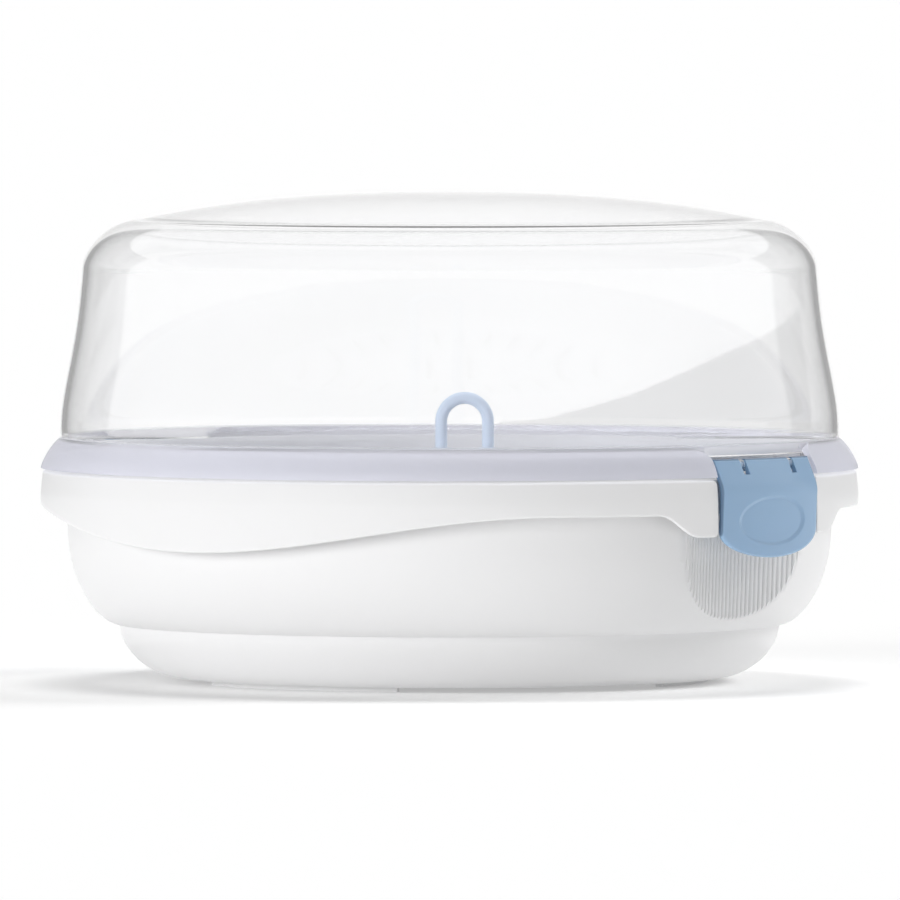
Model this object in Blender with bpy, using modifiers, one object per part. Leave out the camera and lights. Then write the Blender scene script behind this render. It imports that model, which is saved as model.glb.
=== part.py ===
"""Two-tier microwave steam steriliser for baby bottles.

A white bowl holds the water. A white cool-touch ring with a wave-shaped skirt is clipped
over the bowl's rim. A light-blue slotted tray with a lifting loop stands on the bowl's
waist. A clear dome lid rests on the ring and carries two blue side clips, each of which
swings on its own pin. Lengths are in metres, +Z is up, and the clips lie on the X axis.
"""
import math

import bmesh
import bpy
from mathutils import Matrix, Vector

# Clearances and cutting
GAP = 0.0003                 # between two pieces that rest on each other
OVERRUN = 0.004              # how far a cutter runs past what it cuts
MERGE = 0.00001              # merge distance on the axis of a turned piece
TURN_STEPS = 52              # facets round a turned piece
RING_STEPS = 64              # facets round the ring, whose edge is a wave

# Bowl: its rim sets the radius and the height of all that stands on it
BOWL_RIM_RADIUS = 0.1303
BOWL_RIM_HEIGHT = 0.0691
BOWL_WALL = 0.0022
RIM_DRAFT = 0.0005           # how far the upper tier's side draws in below the rim
RIM_BAND = 0.0179            # height of that side
BELLY_TUCK = 0.0173          # how far the upper tier curves in below its side
WAIST_HEIGHT = 0.0195        # step between the two tiers
WAIST_STEP = 0.0006          # how far the upper tier stands out over the lower one
WAIST_DROP = 0.0016          # height of the step's face
TUB_TUCK = 0.0189            # how far the lower tier curves in
BOWL_FLOOR_HEIGHT = 0.0016   # underside of the bowl, raised by its feet
BELLY_TOP_RADIUS = BOWL_RIM_RADIUS - RIM_DRAFT
BELLY_TOP_HEIGHT = BOWL_RIM_HEIGHT - RIM_BAND
BELLY_END_RADIUS = BELLY_TOP_RADIUS - BELLY_TUCK
WAIST_RADIUS = BELLY_END_RADIUS - WAIST_STEP
TUB_TOP_HEIGHT = WAIST_HEIGHT - WAIST_DROP
TUB_BOTTOM_RADIUS = WAIST_RADIUS - TUB_TUCK
BELLY_POINTS = 6
TUB_POINTS = 4
INNER_POINTS = 4             # the unseen inner side has fewer facets
BELLY_FULLNESS = 1.8         # roundness of the upper tier, 2 is an ellipse
TUB_FULLNESS = 1.7

# Feet: three arcs moulded under the bowl
FOOT_COUNT = 3
FOOT_SETBACK = 0.0047        # inside the edge of the bowl's flat bottom
FOOT_WIDTH = 0.0030
FOOT_SWEEP = math.radians(54)
FOOT_STEPS = 8
FOOT_SINK = 0.0008           # how deep a foot is rooted in the bowl's floor
FOOT_OUTER_RADIUS = TUB_BOTTOM_RADIUS - FOOT_SETBACK

# Ring: top deck, wave-edged skirt and the pockets for the clips
RING_OVERHANG = 0.0087       # skirt's face outside the bowl's rim
RING_DECK = 0.0022           # thickness of the deck over the rim
RING_SHOULDER = 0.0016       # rounding where the deck turns into the skirt
RING_WALL = 0.0020
RING_LIP_DEPTH = 0.0036      # lip that hooks inside the bowl's rim
RING_LIP_WALL = 0.0016
RING_LIP_PLAY = 0.0005       # between the lip and the bowl's wall
RING_BEAD_HEIGHT = 0.0020    # bead on the deck that centres the lid
SKIRT_SHORTEST = 0.0115      # from the deck to the skirt's edge where the wave is shallow
SKIRT_LONGEST = 0.0241       # the same at the front and back
SKIRT_AT_CLIP = 0.0190       # the same beside the clips
SKIRT_TAPER = 0.0007         # how much the skirt's top is drawn in
SKIRT_TAPER_DROP = 0.0071
WAVE_START = math.radians(37)
BRACKET_START = math.radians(21)
BRACKET_END = math.radians(14.5)
RING_RADIUS = BOWL_RIM_RADIUS + RING_OVERHANG
RING_UNDER_HEIGHT = BOWL_RIM_HEIGHT + GAP
RING_TOP_HEIGHT = RING_UNDER_HEIGHT + RING_DECK
SKIRT_HIGH = RING_TOP_HEIGHT - SKIRT_SHORTEST
SKIRT_LOW = RING_TOP_HEIGHT - SKIRT_LONGEST
SKIRT_BRACKET = RING_TOP_HEIGHT - SKIRT_AT_CLIP
SKIRT_TAPER_HEIGHT = RING_TOP_HEIGHT - SKIRT_TAPER_DROP

# Lid: dome, flared flange and the rib that stands on the ring
LID_HEIGHT = 0.1660
LID_WALL = 0.0020
LID_RIB_SET = 0.0017         # rib's face inside the dome's foot
LID_RIB_WALL = 0.0018
LID_PLAY = 0.0004            # between the lid's rib and the ring's bead
FLANGE_LIFT = 0.0010         # flange's lip above the ring's deck
FLANGE_RISE = 0.0102         # height of the flange
FLANGE_SPREAD = 0.0068       # how far the flange flares out
FLANGE_WALL = 0.0018
LID_DRAFT = 0.0073           # how far the wall draws in from the flange to the shoulder
SHOULDER_TUCK = 0.0188       # width of the rounded shoulder
SHOULDER_DROP = 0.0171       # height of the rounded shoulder
ROOF_DROP = 0.0093           # how far the roof falls to the shoulder
ROOF_FALL_POWER = 2.4        # how late the roof falls towards its edge
ROOF_POINTS = 3
SHOULDER_POINTS = 5
SHOULDER_FULLNESS = 1.75
FLANGE_POINTS = 4
FLANGE_FULLNESS = 1.3
WALL_SHARES = ((0.287, 0.233), (0.479, 0.479), (0.669, 0.767))  # (down, across)
FLANGE_RADIUS = RING_RADIUS
FLANGE_HEIGHT = RING_TOP_HEIGHT + FLANGE_LIFT
SKIRTING_RADIUS = FLANGE_RADIUS - FLANGE_SPREAD    # dome's radius where the flange starts
SKIRTING_HEIGHT = FLANGE_HEIGHT + FLANGE_RISE
SHOULDER_RADIUS = SKIRTING_RADIUS - LID_DRAFT
ROOF_EDGE_RADIUS = SHOULDER_RADIUS - SHOULDER_TUCK
ROOF_EDGE_HEIGHT = LID_HEIGHT - ROOF_DROP
SHOULDER_HEIGHT = ROOF_EDGE_HEIGHT - SHOULDER_DROP
LID_RIB_OUTER = SKIRTING_RADIUS - LID_RIB_SET
LID_RIB_FOOT = RING_TOP_HEIGHT + GAP

# Hinge: a pin through the clip's barrel and the lid's two lugs
PIN_RADIUS = 0.0012
PIN_OUTSET = 0.0031          # from the lid's rib to the hinge axis
PIN_RISE = 0.0046            # hinge axis above the ring's deck
BARREL_WALL = 0.0009
LUG_WIDTH = 0.0024
LUG_STEPS = 8
PIN_STEPS = 16
PIN_X = LID_RIB_OUTER + PIN_OUTSET
PIN_Z = RING_TOP_HEIGHT + PIN_RISE
BARREL_RADIUS = PIN_RADIUS + BARREL_WALL

# Clips: plate with a thumb dimple, hung on the pin between the lid's lugs
CLIP_HALF_WIDTH = 0.0260
CLIP_DEPTH = 0.0333          # from the clip's top down to its toe
CLIP_STAND = 0.0020          # knee outside the ring's skirt
CLIP_TOE_IN = 0.0005         # how far the toe draws in below the knee
CLIP_BROW_OUT = 0.0015       # rounding of the top edge
CLIP_BROW_DROP = 0.0009
CLIP_KNEE_DROP = 0.0097      # sloped upper zone
CLIP_TOP_OUT = 0.0012        # top edge outside the hinge axis
CLIP_TOP_RISE = 0.0023       # top edge above the hinge axis
CLIP_ROUND_HEIGHT = 0.0093   # height of the round bottom
CLIP_WALL = 0.0022
CLIP_TOP_WALL = 0.0014
CLIP_STATIONS = 10
BARREL_SETBACK = 0.0085      # barrel's end inside the clip's side
PIN_SETBACK = 0.0010         # pin's end inside the barrel's end
LUG_SETBACK = 0.0035         # lug's middle inside the pin's end
LUG_CLEARANCE = 0.0008       # between the lug and the bottom of its slot
CLIP_TOP_HEIGHT = PIN_Z + CLIP_TOP_RISE
CLIP_TOP_RADIUS = PIN_X + CLIP_TOP_OUT
CLIP_BROW_RADIUS = CLIP_TOP_RADIUS + CLIP_BROW_OUT
CLIP_BROW_HEIGHT = CLIP_TOP_HEIGHT - CLIP_BROW_DROP
CLIP_KNEE_RADIUS = RING_RADIUS + CLIP_STAND
CLIP_KNEE_HEIGHT = CLIP_TOP_HEIGHT - CLIP_KNEE_DROP
CLIP_TOE_RADIUS = CLIP_KNEE_RADIUS - CLIP_TOE_IN
CLIP_TOE_HEIGHT = CLIP_TOP_HEIGHT - CLIP_DEPTH
CLIP_SIDE_HEIGHT = CLIP_TOE_HEIGHT + CLIP_ROUND_HEIGHT
BARREL_HALF_LENGTH = CLIP_HALF_WIDTH - BARREL_SETBACK
PIN_HALF_LENGTH = BARREL_HALF_LENGTH - PIN_SETBACK
LUG_OFFSET = PIN_HALF_LENGTH - LUG_SETBACK
LUG_SLOT_LOW = PIN_Z - BARREL_RADIUS - LUG_CLEARANCE

# Thumb dimple: an oval hollow with a raised rim
DIMPLE_RISE = 0.0126         # dimple's middle above the clip's toe
DIMPLE_MARGIN = 0.0085       # from the dimple's end to the clip's side
DIMPLE_HALF_HEIGHT = 0.0078
DIMPLE_DEPTH = 0.0010
DIMPLE_BALL = 0.0024         # half thickness of the ball that hollows the dimple
DIMPLE_RIM = 0.0012
DIMPLE_RIM_RISE = 0.0004
ROUND_STEPS = 20
DIMPLE_HEIGHT = CLIP_TOE_HEIGHT + DIMPLE_RISE
DIMPLE_HALF_WIDTH = CLIP_HALF_WIDTH - DIMPLE_MARGIN

# Pocket in the ring and notch in the flange: each clears the clip
POCKET_PLAY = 0.0013         # beside the clip
NOTCH_PLAY = 0.0015
POCKET_DEPTH = 0.0044        # from the skirt's face to the pocket's panel
PANEL_DEPTH = 0.0113         # from the deck down to the panel's edge
POCKET_STEPS = 6
POCKET_HALF_WIDTH = CLIP_HALF_WIDTH + POCKET_PLAY
FLANGE_NOTCH_HALF = CLIP_HALF_WIDTH + NOTCH_PLAY
PANEL_RADIUS = RING_RADIUS - POCKET_DEPTH
PANEL_LOW = RING_TOP_HEIGHT - PANEL_DEPTH

# Catch: bead on the pocket's panel and nib inside the clip
CATCH_RISE = 0.0007
CATCH_HEIGHT = 0.0012
CATCH_HALF_WIDTH = 0.0110
NIB_CLEARANCE = 0.0005       # radial gap by which the nib passes the bead
NIB_DROP = 0.0004            # gap between the nib and the bead above it
NIB_HEIGHT = 0.0020
NIB_ROOT = 0.0005            # how deep the nib is rooted in the clip's plate
NIB_SHARE = 0.9              # nib's width over the bead's

# Grips: ribbed U-shaped patches on the bowl under the clips
GRIP_MARGIN = 0.0058         # grip's side outside the clip's side
GRIP_TOP_DROP = 0.0066       # from the bowl's rim to the grip's top
GRIP_RISE = 0.0047           # grip's lowest point above the waist
GRIP_ROUND_HEIGHT = 0.0118   # height of the round bottom
GRIP_FULLNESS = 2.2
GRIP_SKIN = 0.0003           # how far the grooves stand proud of the bowl
GRIP_ROOT = 0.0010           # how deep the grip is rooted in the bowl's wall
GRIP_LOWEST_SHARE = 0.08     # share of the grip's height below which no row lies
RIB_PITCH = 0.0021
RIB_DEPTH = 0.0007
RIB_CREST_SHARE = 0.44       # crest width over pitch
GRIP_HALF_WIDTH = CLIP_HALF_WIDTH + GRIP_MARGIN
GRIP_TOP_HEIGHT = BOWL_RIM_HEIGHT - GRIP_TOP_DROP
GRIP_BOTTOM_HEIGHT = WAIST_HEIGHT + GRIP_RISE
GRIP_CORNER_HEIGHT = GRIP_BOTTOM_HEIGHT + GRIP_ROUND_HEIGHT

# Tray: slotted dish that stands on the bowl's waist
TRAY_RISE = 0.0081           # tray's rim above the ring's deck
TRAY_SETBACK = 0.0088        # tray's rim inside the bowl's rim
TRAY_WALL = 0.0018
TRAY_ROLL = 0.0022           # width of the rolled rim
TRAY_FOOT_STEP = 0.0009      # foot's face outside the waist
TRAY_FOOT_WIDTH = 0.0032
TRAY_FLOOR_RISE = 0.0024     # floor above the foot ring
TRAY_SIDE_SPREAD = 0.0050    # how far the wall spreads over its rounded foot
TRAY_SIDE_RISE = 0.0205      # that height above the waist
SLOT_MARGIN = 0.0096         # from the foot to the outer slots
OUTER_SLOT_LENGTH = 0.0320
SLOT_SPACE = 0.0120          # between the two rings of slots
INNER_SLOT_LENGTH = 0.0260
SLOT_WIDTH = 0.0044
OUTER_SLOTS = 24
INNER_SLOTS = 12
SLOT_END_STEPS = 2
SLOT_PHASE_SHARE = 0.5       # the loop stands between two slots
TRAY_RIM_HEIGHT = RING_TOP_HEIGHT + TRAY_RISE
TRAY_RIM_RADIUS = BOWL_RIM_RADIUS - TRAY_SETBACK
TRAY_FOOT_OUTER = WAIST_RADIUS + TRAY_FOOT_STEP
TRAY_FOOT_INNER = TRAY_FOOT_OUTER - TRAY_FOOT_WIDTH
TRAY_SIDE_RADIUS = TRAY_FOOT_OUTER + TRAY_SIDE_SPREAD
TRAY_SIDE_HEIGHT = WAIST_HEIGHT + TRAY_SIDE_RISE
OUTER_SLOT_END = TRAY_FOOT_INNER - SLOT_MARGIN
OUTER_SLOT_START = OUTER_SLOT_END - OUTER_SLOT_LENGTH
INNER_SLOT_END = OUTER_SLOT_START - SLOT_SPACE
INNER_SLOT_START = INNER_SLOT_END - INNER_SLOT_LENGTH

# Loop: inverted U with which the tray is lifted, and its socket block
LOOP_TURN = math.radians(38.5)
LOOP_ROD = 0.0041
LOOP_INNER_WIDTH = 0.0118
LOOP_RISE = 0.0184           # loop's top above the tray's rim
LOOP_OFFSET = 0.0051
LOOP_ARCH_POINTS = 12
BLOCK_HEIGHT = 0.0070
BLOCK_MARGIN = 0.0022
SOCKET_DEPTH = 0.0052
ROD_STEPS = 12
LOOP_BEVEL_STEPS = 2
LOOP_TOP_HEIGHT = TRAY_RIM_HEIGHT + LOOP_RISE


# Scene set-up
def clear_scene():
    for thing in list(bpy.data.objects):
        bpy.data.objects.remove(thing, do_unlink=True)


def new_collection(name):
    group = bpy.data.collections.new(name)
    bpy.context.scene.collection.children.link(group)
    return group


def plastic(name, colour, roughness, see_through=0.0):
    """A moulded plastic, clear where see_through is above zero."""
    material = bpy.data.materials.new(name)
    material.use_nodes = True
    shader = material.node_tree.nodes["Principled BSDF"]
    shader.inputs["Base Color"].default_value = (*colour, 1.0)
    shader.inputs["Roughness"].default_value = roughness
    shader.inputs["Metallic"].default_value = 0.0
    shader.inputs["Transmission Weight"].default_value = see_through
    return material


def add_object(name, mesh, group):
    thing = bpy.data.objects.new(name, mesh)
    group.objects.link(thing)
    return thing


def as_cutter(thing):
    thing.hide_render = True
    thing.display_type = "WIRE"
    return thing


def settle(thing):
    """Replaces an object's mesh by what its modifiers make of it."""
    bpy.context.view_layer.update()
    evaluated = thing.evaluated_get(bpy.context.evaluated_depsgraph_get())
    mesh = bpy.data.meshes.new_from_object(evaluated)
    thing.modifiers.clear()
    thing.data = mesh
    return thing


def boolean(thing, other, operation):
    step = thing.modifiers.new(f"{operation.lower()} {other.name}", "BOOLEAN")
    step.operation = operation
    step.object = other
    step.solver = "EXACT"


def smooth(thing, material, sharp_angle=math.radians(32)):
    thing.data.materials.clear()
    thing.data.materials.append(material)
    thing.data.shade_smooth()
    thing.data.set_sharp_from_angle(angle=sharp_angle)


# Shapes
def turned(name, chain, group, closed=False, turn_steps=TURN_STEPS):
    """A chain of (radius, height) points, run down the outer side, turned about Z."""
    mesh = bpy.data.meshes.new(name)
    points = [(radius, 0.0, height) for radius, height in chain]
    edges = [(i, i + 1) for i in range(len(chain) - 1)]
    if closed:
        edges.append((len(chain) - 1, 0))
    mesh.from_pydata(points, edges, [])
    thing = add_object(name, mesh, group)
    screw = thing.modifiers.new("turn", "SCREW")
    screw.angle = math.tau
    screw.steps = turn_steps
    screw.render_steps = turn_steps
    screw.use_merge_vertices = True
    screw.merge_threshold = MERGE
    return settle(thing)


def swept_arc(name, outline, middle, sweep, steps, group):
    """A closed (radius, height) outline swept round Z over an angle, with flat ends."""
    solid = bmesh.new()
    turn = Matrix.Rotation(middle - sweep / 2, 3, "Z")
    verts = [solid.verts.new(turn @ Vector((radius, 0.0, height))) for radius, height in outline]
    face = solid.faces.new(verts)
    geometry = [face, *face.edges, *face.verts]
    for _ in range(steps):
        lifted = bmesh.ops.extrude_face_region(solid, geom=geometry)["geom"]
        corners = [item for item in lifted if isinstance(item, bmesh.types.BMVert)]
        bmesh.ops.rotate(solid, verts=corners, matrix=Matrix.Rotation(sweep / steps, 3, "Z"))
        front = [item for item in lifted if isinstance(item, bmesh.types.BMFace)][0]
        geometry = [front, *front.edges, *front.verts]
    bmesh.ops.recalc_face_normals(solid, faces=solid.faces)
    mesh = bpy.data.meshes.new(name)
    solid.to_mesh(mesh)
    solid.free()
    return add_object(name, mesh, group)


def prism(name, outline, depth, matrix, group):
    """A flat outline in its own XY plane, thickened both ways along its own Z."""
    solid = bmesh.new()
    face = solid.faces.new([solid.verts.new((x, y, -depth / 2)) for x, y in outline])
    lifted = bmesh.ops.extrude_face_region(solid, geom=[face])["geom"]
    corners = [item for item in lifted if isinstance(item, bmesh.types.BMVert)]
    bmesh.ops.translate(solid, verts=corners, vec=(0.0, 0.0, depth))
    bmesh.ops.recalc_face_normals(solid, faces=solid.faces)
    mesh = bpy.data.meshes.new(name)
    solid.to_mesh(mesh)
    solid.free()
    mesh.transform(matrix)
    return add_object(name, mesh, group)


def rod(name, radius, length, steps, matrix, group):
    """A straight round bar along its own Z."""
    solid = bmesh.new()
    bmesh.ops.create_cone(solid, cap_ends=True, segments=steps, radius1=radius,
                          radius2=radius, depth=length)
    mesh = bpy.data.meshes.new(name)
    solid.to_mesh(mesh)
    solid.free()
    mesh.transform(matrix)
    return add_object(name, mesh, group)


def join(name, things, group):
    """One object made of several solids that don't touch each other."""
    solid = bmesh.new()
    for thing in things:
        solid.from_mesh(thing.data)
        bpy.data.objects.remove(thing, do_unlink=True)
    mesh = bpy.data.meshes.new(name)
    solid.to_mesh(mesh)
    solid.free()
    return add_object(name, mesh, group)


# Outlines
def quarter(start, end, points, fullness, corner_at_start_height):
    """A rounded quarter between two (radius, height) points, both of them included."""
    line = []
    for i in range(points + 1):
        angle = math.pi / 2 * i / points
        late = math.sin(angle) ** (2 / fullness)
        early = 1 - math.cos(angle) ** (2 / fullness)
        across, down = (late, early) if corner_at_start_height else (early, late)
        line.append((start[0] + (end[0] - start[0]) * across,
                     start[1] + (end[1] - start[1]) * down))
    return line


def inset(line, wall):
    """The line moved by one wall thickness to its right-hand side, with mitred corners."""
    moved = []
    for i, (radius, height) in enumerate(line):
        before = Vector(line[i]) - Vector(line[i - 1]) if i else None
        after = Vector(line[i + 1]) - Vector(line[i]) if i < len(line) - 1 else None
        sides = [Vector((side.y, -side.x)).normalized() for side in (before, after) if side]
        normal = sum(sides, Vector((0.0, 0.0))).normalized()
        reach = wall / normal.dot(sides[0])
        moved.append((max(radius + normal.x * reach, 0.0), height + normal.y * reach))
    return moved


def height_at(line, radius):
    """Height of a line that rises with radius, at one radius."""
    for (low_r, low_z), (high_r, high_z) in zip(line, line[1:]):
        if low_r <= radius <= high_r:
            return low_z + (high_z - low_z) * (radius - low_r) / (high_r - low_r)
    return line[-1][1]


def blend(share):
    """Smooth step from 0 to 1."""
    share = min(max(share, 0.0), 1.0)
    return share * share * (3 - 2 * share)


def bowl_line(belly_points=BELLY_POINTS, tub_points=TUB_POINTS):
    """Outer line of the bowl, from its rim down to the centre of its floor."""
    rim = [(BOWL_RIM_RADIUS, BOWL_RIM_HEIGHT)]
    belly = quarter((BELLY_TOP_RADIUS, BELLY_TOP_HEIGHT),
                    (BELLY_END_RADIUS, WAIST_HEIGHT), belly_points, BELLY_FULLNESS, False)
    tub = quarter((WAIST_RADIUS, TUB_TOP_HEIGHT),
                  (TUB_BOTTOM_RADIUS, BOWL_FLOOR_HEIGHT), tub_points, TUB_FULLNESS, False)
    return rim + belly + tub + [(0.0, BOWL_FLOOR_HEIGHT)]


def bowl_inner_line():
    """Inner line of the bowl, from its rim down to the centre of its floor."""
    return inset(bowl_line(INNER_POINTS, INNER_POINTS), BOWL_WALL)


def bowl_radius_at(height):
    """Outer radius of the bowl at one height of its upper tier."""
    line = bowl_line()
    for (high_r, high_z), (low_r, low_z) in zip(line, line[1:]):
        if low_z <= height <= high_z:
            return low_r + (high_r - low_r) * (height - low_z) / (high_z - low_z)
    return BOWL_RIM_RADIUS


def wave_height(angle):
    """Lower edge of the skirt, by the angle from the nearest clip's axis."""
    if angle >= WAVE_START:
        swing = 0.5 - 0.5 * math.cos(math.pi * (angle - WAVE_START) / (math.pi / 2 - WAVE_START))
        return SKIRT_HIGH + (SKIRT_LOW - SKIRT_HIGH) * swing
    fall = blend((BRACKET_START - angle) / (BRACKET_START - BRACKET_END))
    return SKIRT_HIGH + (SKIRT_BRACKET - SKIRT_HIGH) * fall


def folded_angle(x, y):
    """Angle from the nearest end of the X axis, between 0 and a quarter turn."""
    return math.atan2(abs(y), abs(x))


# The bowl
def grip(name, group):
    """A ribbed patch that follows the bowl's side, centred on +X."""
    ribs = round(2 * GRIP_HALF_WIDTH / RIB_PITCH)
    crest_start = (1 - RIB_CREST_SHARE) / 2
    profile = ((crest_start, True), (1 - crest_start, True), (1.0, False))
    columns = [(rib + share, crest) for rib in range(ribs) for share, crest in profile]
    columns = [(0.0, False), *columns]
    span = GRIP_TOP_HEIGHT - GRIP_BOTTOM_HEIGHT
    stops = [(height - GRIP_BOTTOM_HEIGHT) / span for _, height in bowl_line()[::-1]]
    stops = [0.0, *(share for share in stops if GRIP_LOWEST_SHARE < share < 1.0), 1.0]
    solid = bmesh.new()
    fronts, backs = [], []
    for place, crest in columns:
        across = (place / ribs * 2 - 1) * GRIP_HALF_WIDTH
        angle = across / BELLY_TOP_RADIUS
        bulge = max(1 - abs(across / GRIP_HALF_WIDTH) ** GRIP_FULLNESS, 0.0) ** (1 / GRIP_FULLNESS)
        low = GRIP_CORNER_HEIGHT + (GRIP_BOTTOM_HEIGHT - GRIP_CORNER_HEIGHT) * bulge
        rise = GRIP_SKIN + (RIB_DEPTH if crest else 0.0)
        front, back = [], []
        for share in stops:
            height = low + (GRIP_TOP_HEIGHT - low) * share
            radius = bowl_radius_at(height)
            for column, reach in ((front, radius + rise), (back, radius - GRIP_ROOT)):
                place_at = (reach * math.cos(angle), reach * math.sin(angle), height)
                column.append(solid.verts.new(place_at))
        fronts.append(front)
        backs.append(back)
    levels = len(stops) - 1
    for i in range(len(columns) - 1):
        for k in range(levels):
            solid.faces.new((fronts[i][k], fronts[i + 1][k], fronts[i + 1][k + 1], fronts[i][k + 1]))
            solid.faces.new((backs[i][k + 1], backs[i + 1][k + 1], backs[i + 1][k], backs[i][k]))
        for k, flip in ((0, False), (levels, True)):
            edge = (fronts[i][k], backs[i][k], backs[i + 1][k], fronts[i + 1][k])
            solid.faces.new(edge[::-1] if flip else edge)
    for i in (0, len(columns) - 1):
        for k in range(levels):
            edge = (fronts[i][k], fronts[i][k + 1], backs[i][k + 1], backs[i][k])
            solid.faces.new(edge if i == 0 else edge[::-1])
    bmesh.ops.recalc_face_normals(solid, faces=solid.faces)
    mesh = bpy.data.meshes.new(name)
    solid.to_mesh(mesh)
    solid.free()
    return add_object(name, mesh, group)


def base_bowl(parts, cutters, white):
    bowl = turned("base_bowl", bowl_inner_line()[::-1] + bowl_line(), parts)
    foot = ((FOOT_OUTER_RADIUS, BOWL_FLOOR_HEIGHT + FOOT_SINK),
            (FOOT_OUTER_RADIUS, 0.0),
            (FOOT_OUTER_RADIUS - FOOT_WIDTH, 0.0),
            (FOOT_OUTER_RADIUS - FOOT_WIDTH, BOWL_FLOOR_HEIGHT + FOOT_SINK))
    for i in range(FOOT_COUNT):
        middle = -math.pi / 2 + math.tau * i / FOOT_COUNT
        boolean(bowl, as_cutter(swept_arc(f"foot_{i + 1}", foot, middle, FOOT_SWEEP,
                                          FOOT_STEPS, cutters)), "UNION")
    for side, turn in (("right", 0.0), ("left", math.pi)):
        patch = as_cutter(grip(f"grip_{side}", cutters))
        patch.data.transform(Matrix.Rotation(turn, 4, "Z"))
        boolean(bowl, patch, "UNION")
    smooth(bowl, white)
    return bowl


# The ring
def ring_line():
    """Closed outline of the ring: skirt, lip inside the bowl's rim, and bead."""
    shoulder = RING_RADIUS - SKIRT_TAPER
    lip_outer = bowl_inner_line()[0][0] - RING_LIP_PLAY
    lip_inner = lip_outer - RING_LIP_WALL
    bead_outer = LID_RIB_OUTER - LID_RIB_WALL - LID_PLAY
    return [(shoulder - RING_SHOULDER, RING_TOP_HEIGHT),
            (shoulder, RING_TOP_HEIGHT - RING_SHOULDER),
            (RING_RADIUS, SKIRT_TAPER_HEIGHT),
            (RING_RADIUS, SKIRT_LOW),
            (RING_RADIUS - RING_WALL, SKIRT_LOW),
            (RING_RADIUS - RING_WALL, SKIRT_TAPER_HEIGHT),
            (shoulder - RING_WALL, RING_UNDER_HEIGHT),
            (lip_outer, RING_UNDER_HEIGHT),
            (lip_outer, RING_UNDER_HEIGHT - RING_LIP_DEPTH),
            (lip_inner, RING_UNDER_HEIGHT - RING_LIP_DEPTH),
            (lip_inner, RING_TOP_HEIGHT + RING_BEAD_HEIGHT),
            (bead_outer, RING_TOP_HEIGHT + RING_BEAD_HEIGHT),
            (bead_outer, RING_TOP_HEIGHT)]


def block_line(inner, outer, low, high):
    return ((outer, high), (outer, low), (inner, low), (inner, high))


def rim_ring(parts, cutters, white):
    ring = turned("rim_ring", ring_line(), parts, closed=True, turn_steps=RING_STEPS)
    for vert in ring.data.vertices:
        if vert.co.z < (SKIRT_LOW + SKIRT_BRACKET) / 2:
            vert.co.z = wave_height(folded_angle(vert.co.x, vert.co.y))
    pocket = 2 * math.asin(POCKET_HALF_WIDTH / RING_RADIUS)
    cheeks = pocket + 2 * RING_WALL / RING_RADIUS
    catch = 2 * math.asin(CATCH_HALF_WIDTH / PANEL_RADIUS)
    inner = PANEL_RADIUS - RING_WALL
    housing = block_line(inner, RING_RADIUS - SKIRT_TAPER - RING_WALL / 2, SKIRT_BRACKET,
                         RING_UNDER_HEIGHT + GAP)
    recess = ((PANEL_RADIUS, RING_TOP_HEIGHT + OVERRUN),
              (RING_RADIUS + OVERRUN, RING_TOP_HEIGHT + OVERRUN),
              (RING_RADIUS + OVERRUN, SKIRT_LOW - OVERRUN),
              (inner - OVERRUN / 2, SKIRT_LOW - OVERRUN),
              (inner - OVERRUN / 2, PANEL_LOW),
              (PANEL_RADIUS, PANEL_LOW))
    bead = block_line(PANEL_RADIUS - RING_WALL / 2, PANEL_RADIUS + CATCH_RISE, PANEL_LOW + GAP,
                      PANEL_LOW + GAP + CATCH_HEIGHT)
    for side, middle in (("right", 0.0), ("left", math.pi)):
        for label, outline, sweep, operation in (("housing", housing, cheeks, "UNION"),
                                                 ("recess", recess, pocket, "DIFFERENCE"),
                                                 ("catch", bead, catch, "UNION")):
            tool = swept_arc(f"{label}_{side}", outline, middle, sweep, POCKET_STEPS, cutters)
            boolean(ring, as_cutter(tool), operation)
    smooth(ring, white)
    return ring


# The lid
def lid_line(roof_points=ROOF_POINTS, shoulder_points=SHOULDER_POINTS):
    """Outer line of the dome, from the top's centre down to the start of the flange."""
    roof = []
    for i in range(roof_points):
        share = i / roof_points
        fall = (LID_HEIGHT - ROOF_EDGE_HEIGHT) * share ** ROOF_FALL_POWER
        roof.append((ROOF_EDGE_RADIUS * share, LID_HEIGHT - fall))
    shoulder = quarter((ROOF_EDGE_RADIUS, ROOF_EDGE_HEIGHT), (SHOULDER_RADIUS, SHOULDER_HEIGHT),
                       shoulder_points, SHOULDER_FULLNESS, True)
    drop = SHOULDER_HEIGHT - SKIRTING_HEIGHT
    spread = SKIRTING_RADIUS - SHOULDER_RADIUS
    wall = [(SHOULDER_RADIUS + spread * across, SHOULDER_HEIGHT - drop * down)
            for down, across in WALL_SHARES]
    return roof + shoulder + wall + [(SKIRTING_RADIUS, SKIRTING_HEIGHT)]


def flange_line(points):
    """Outer line of the flange, from the dome's wall down to its lip."""
    return quarter((SKIRTING_RADIUS, SKIRTING_HEIGHT), (FLANGE_RADIUS, FLANGE_HEIGHT),
                   points, FLANGE_FULLNESS, True)


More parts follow.
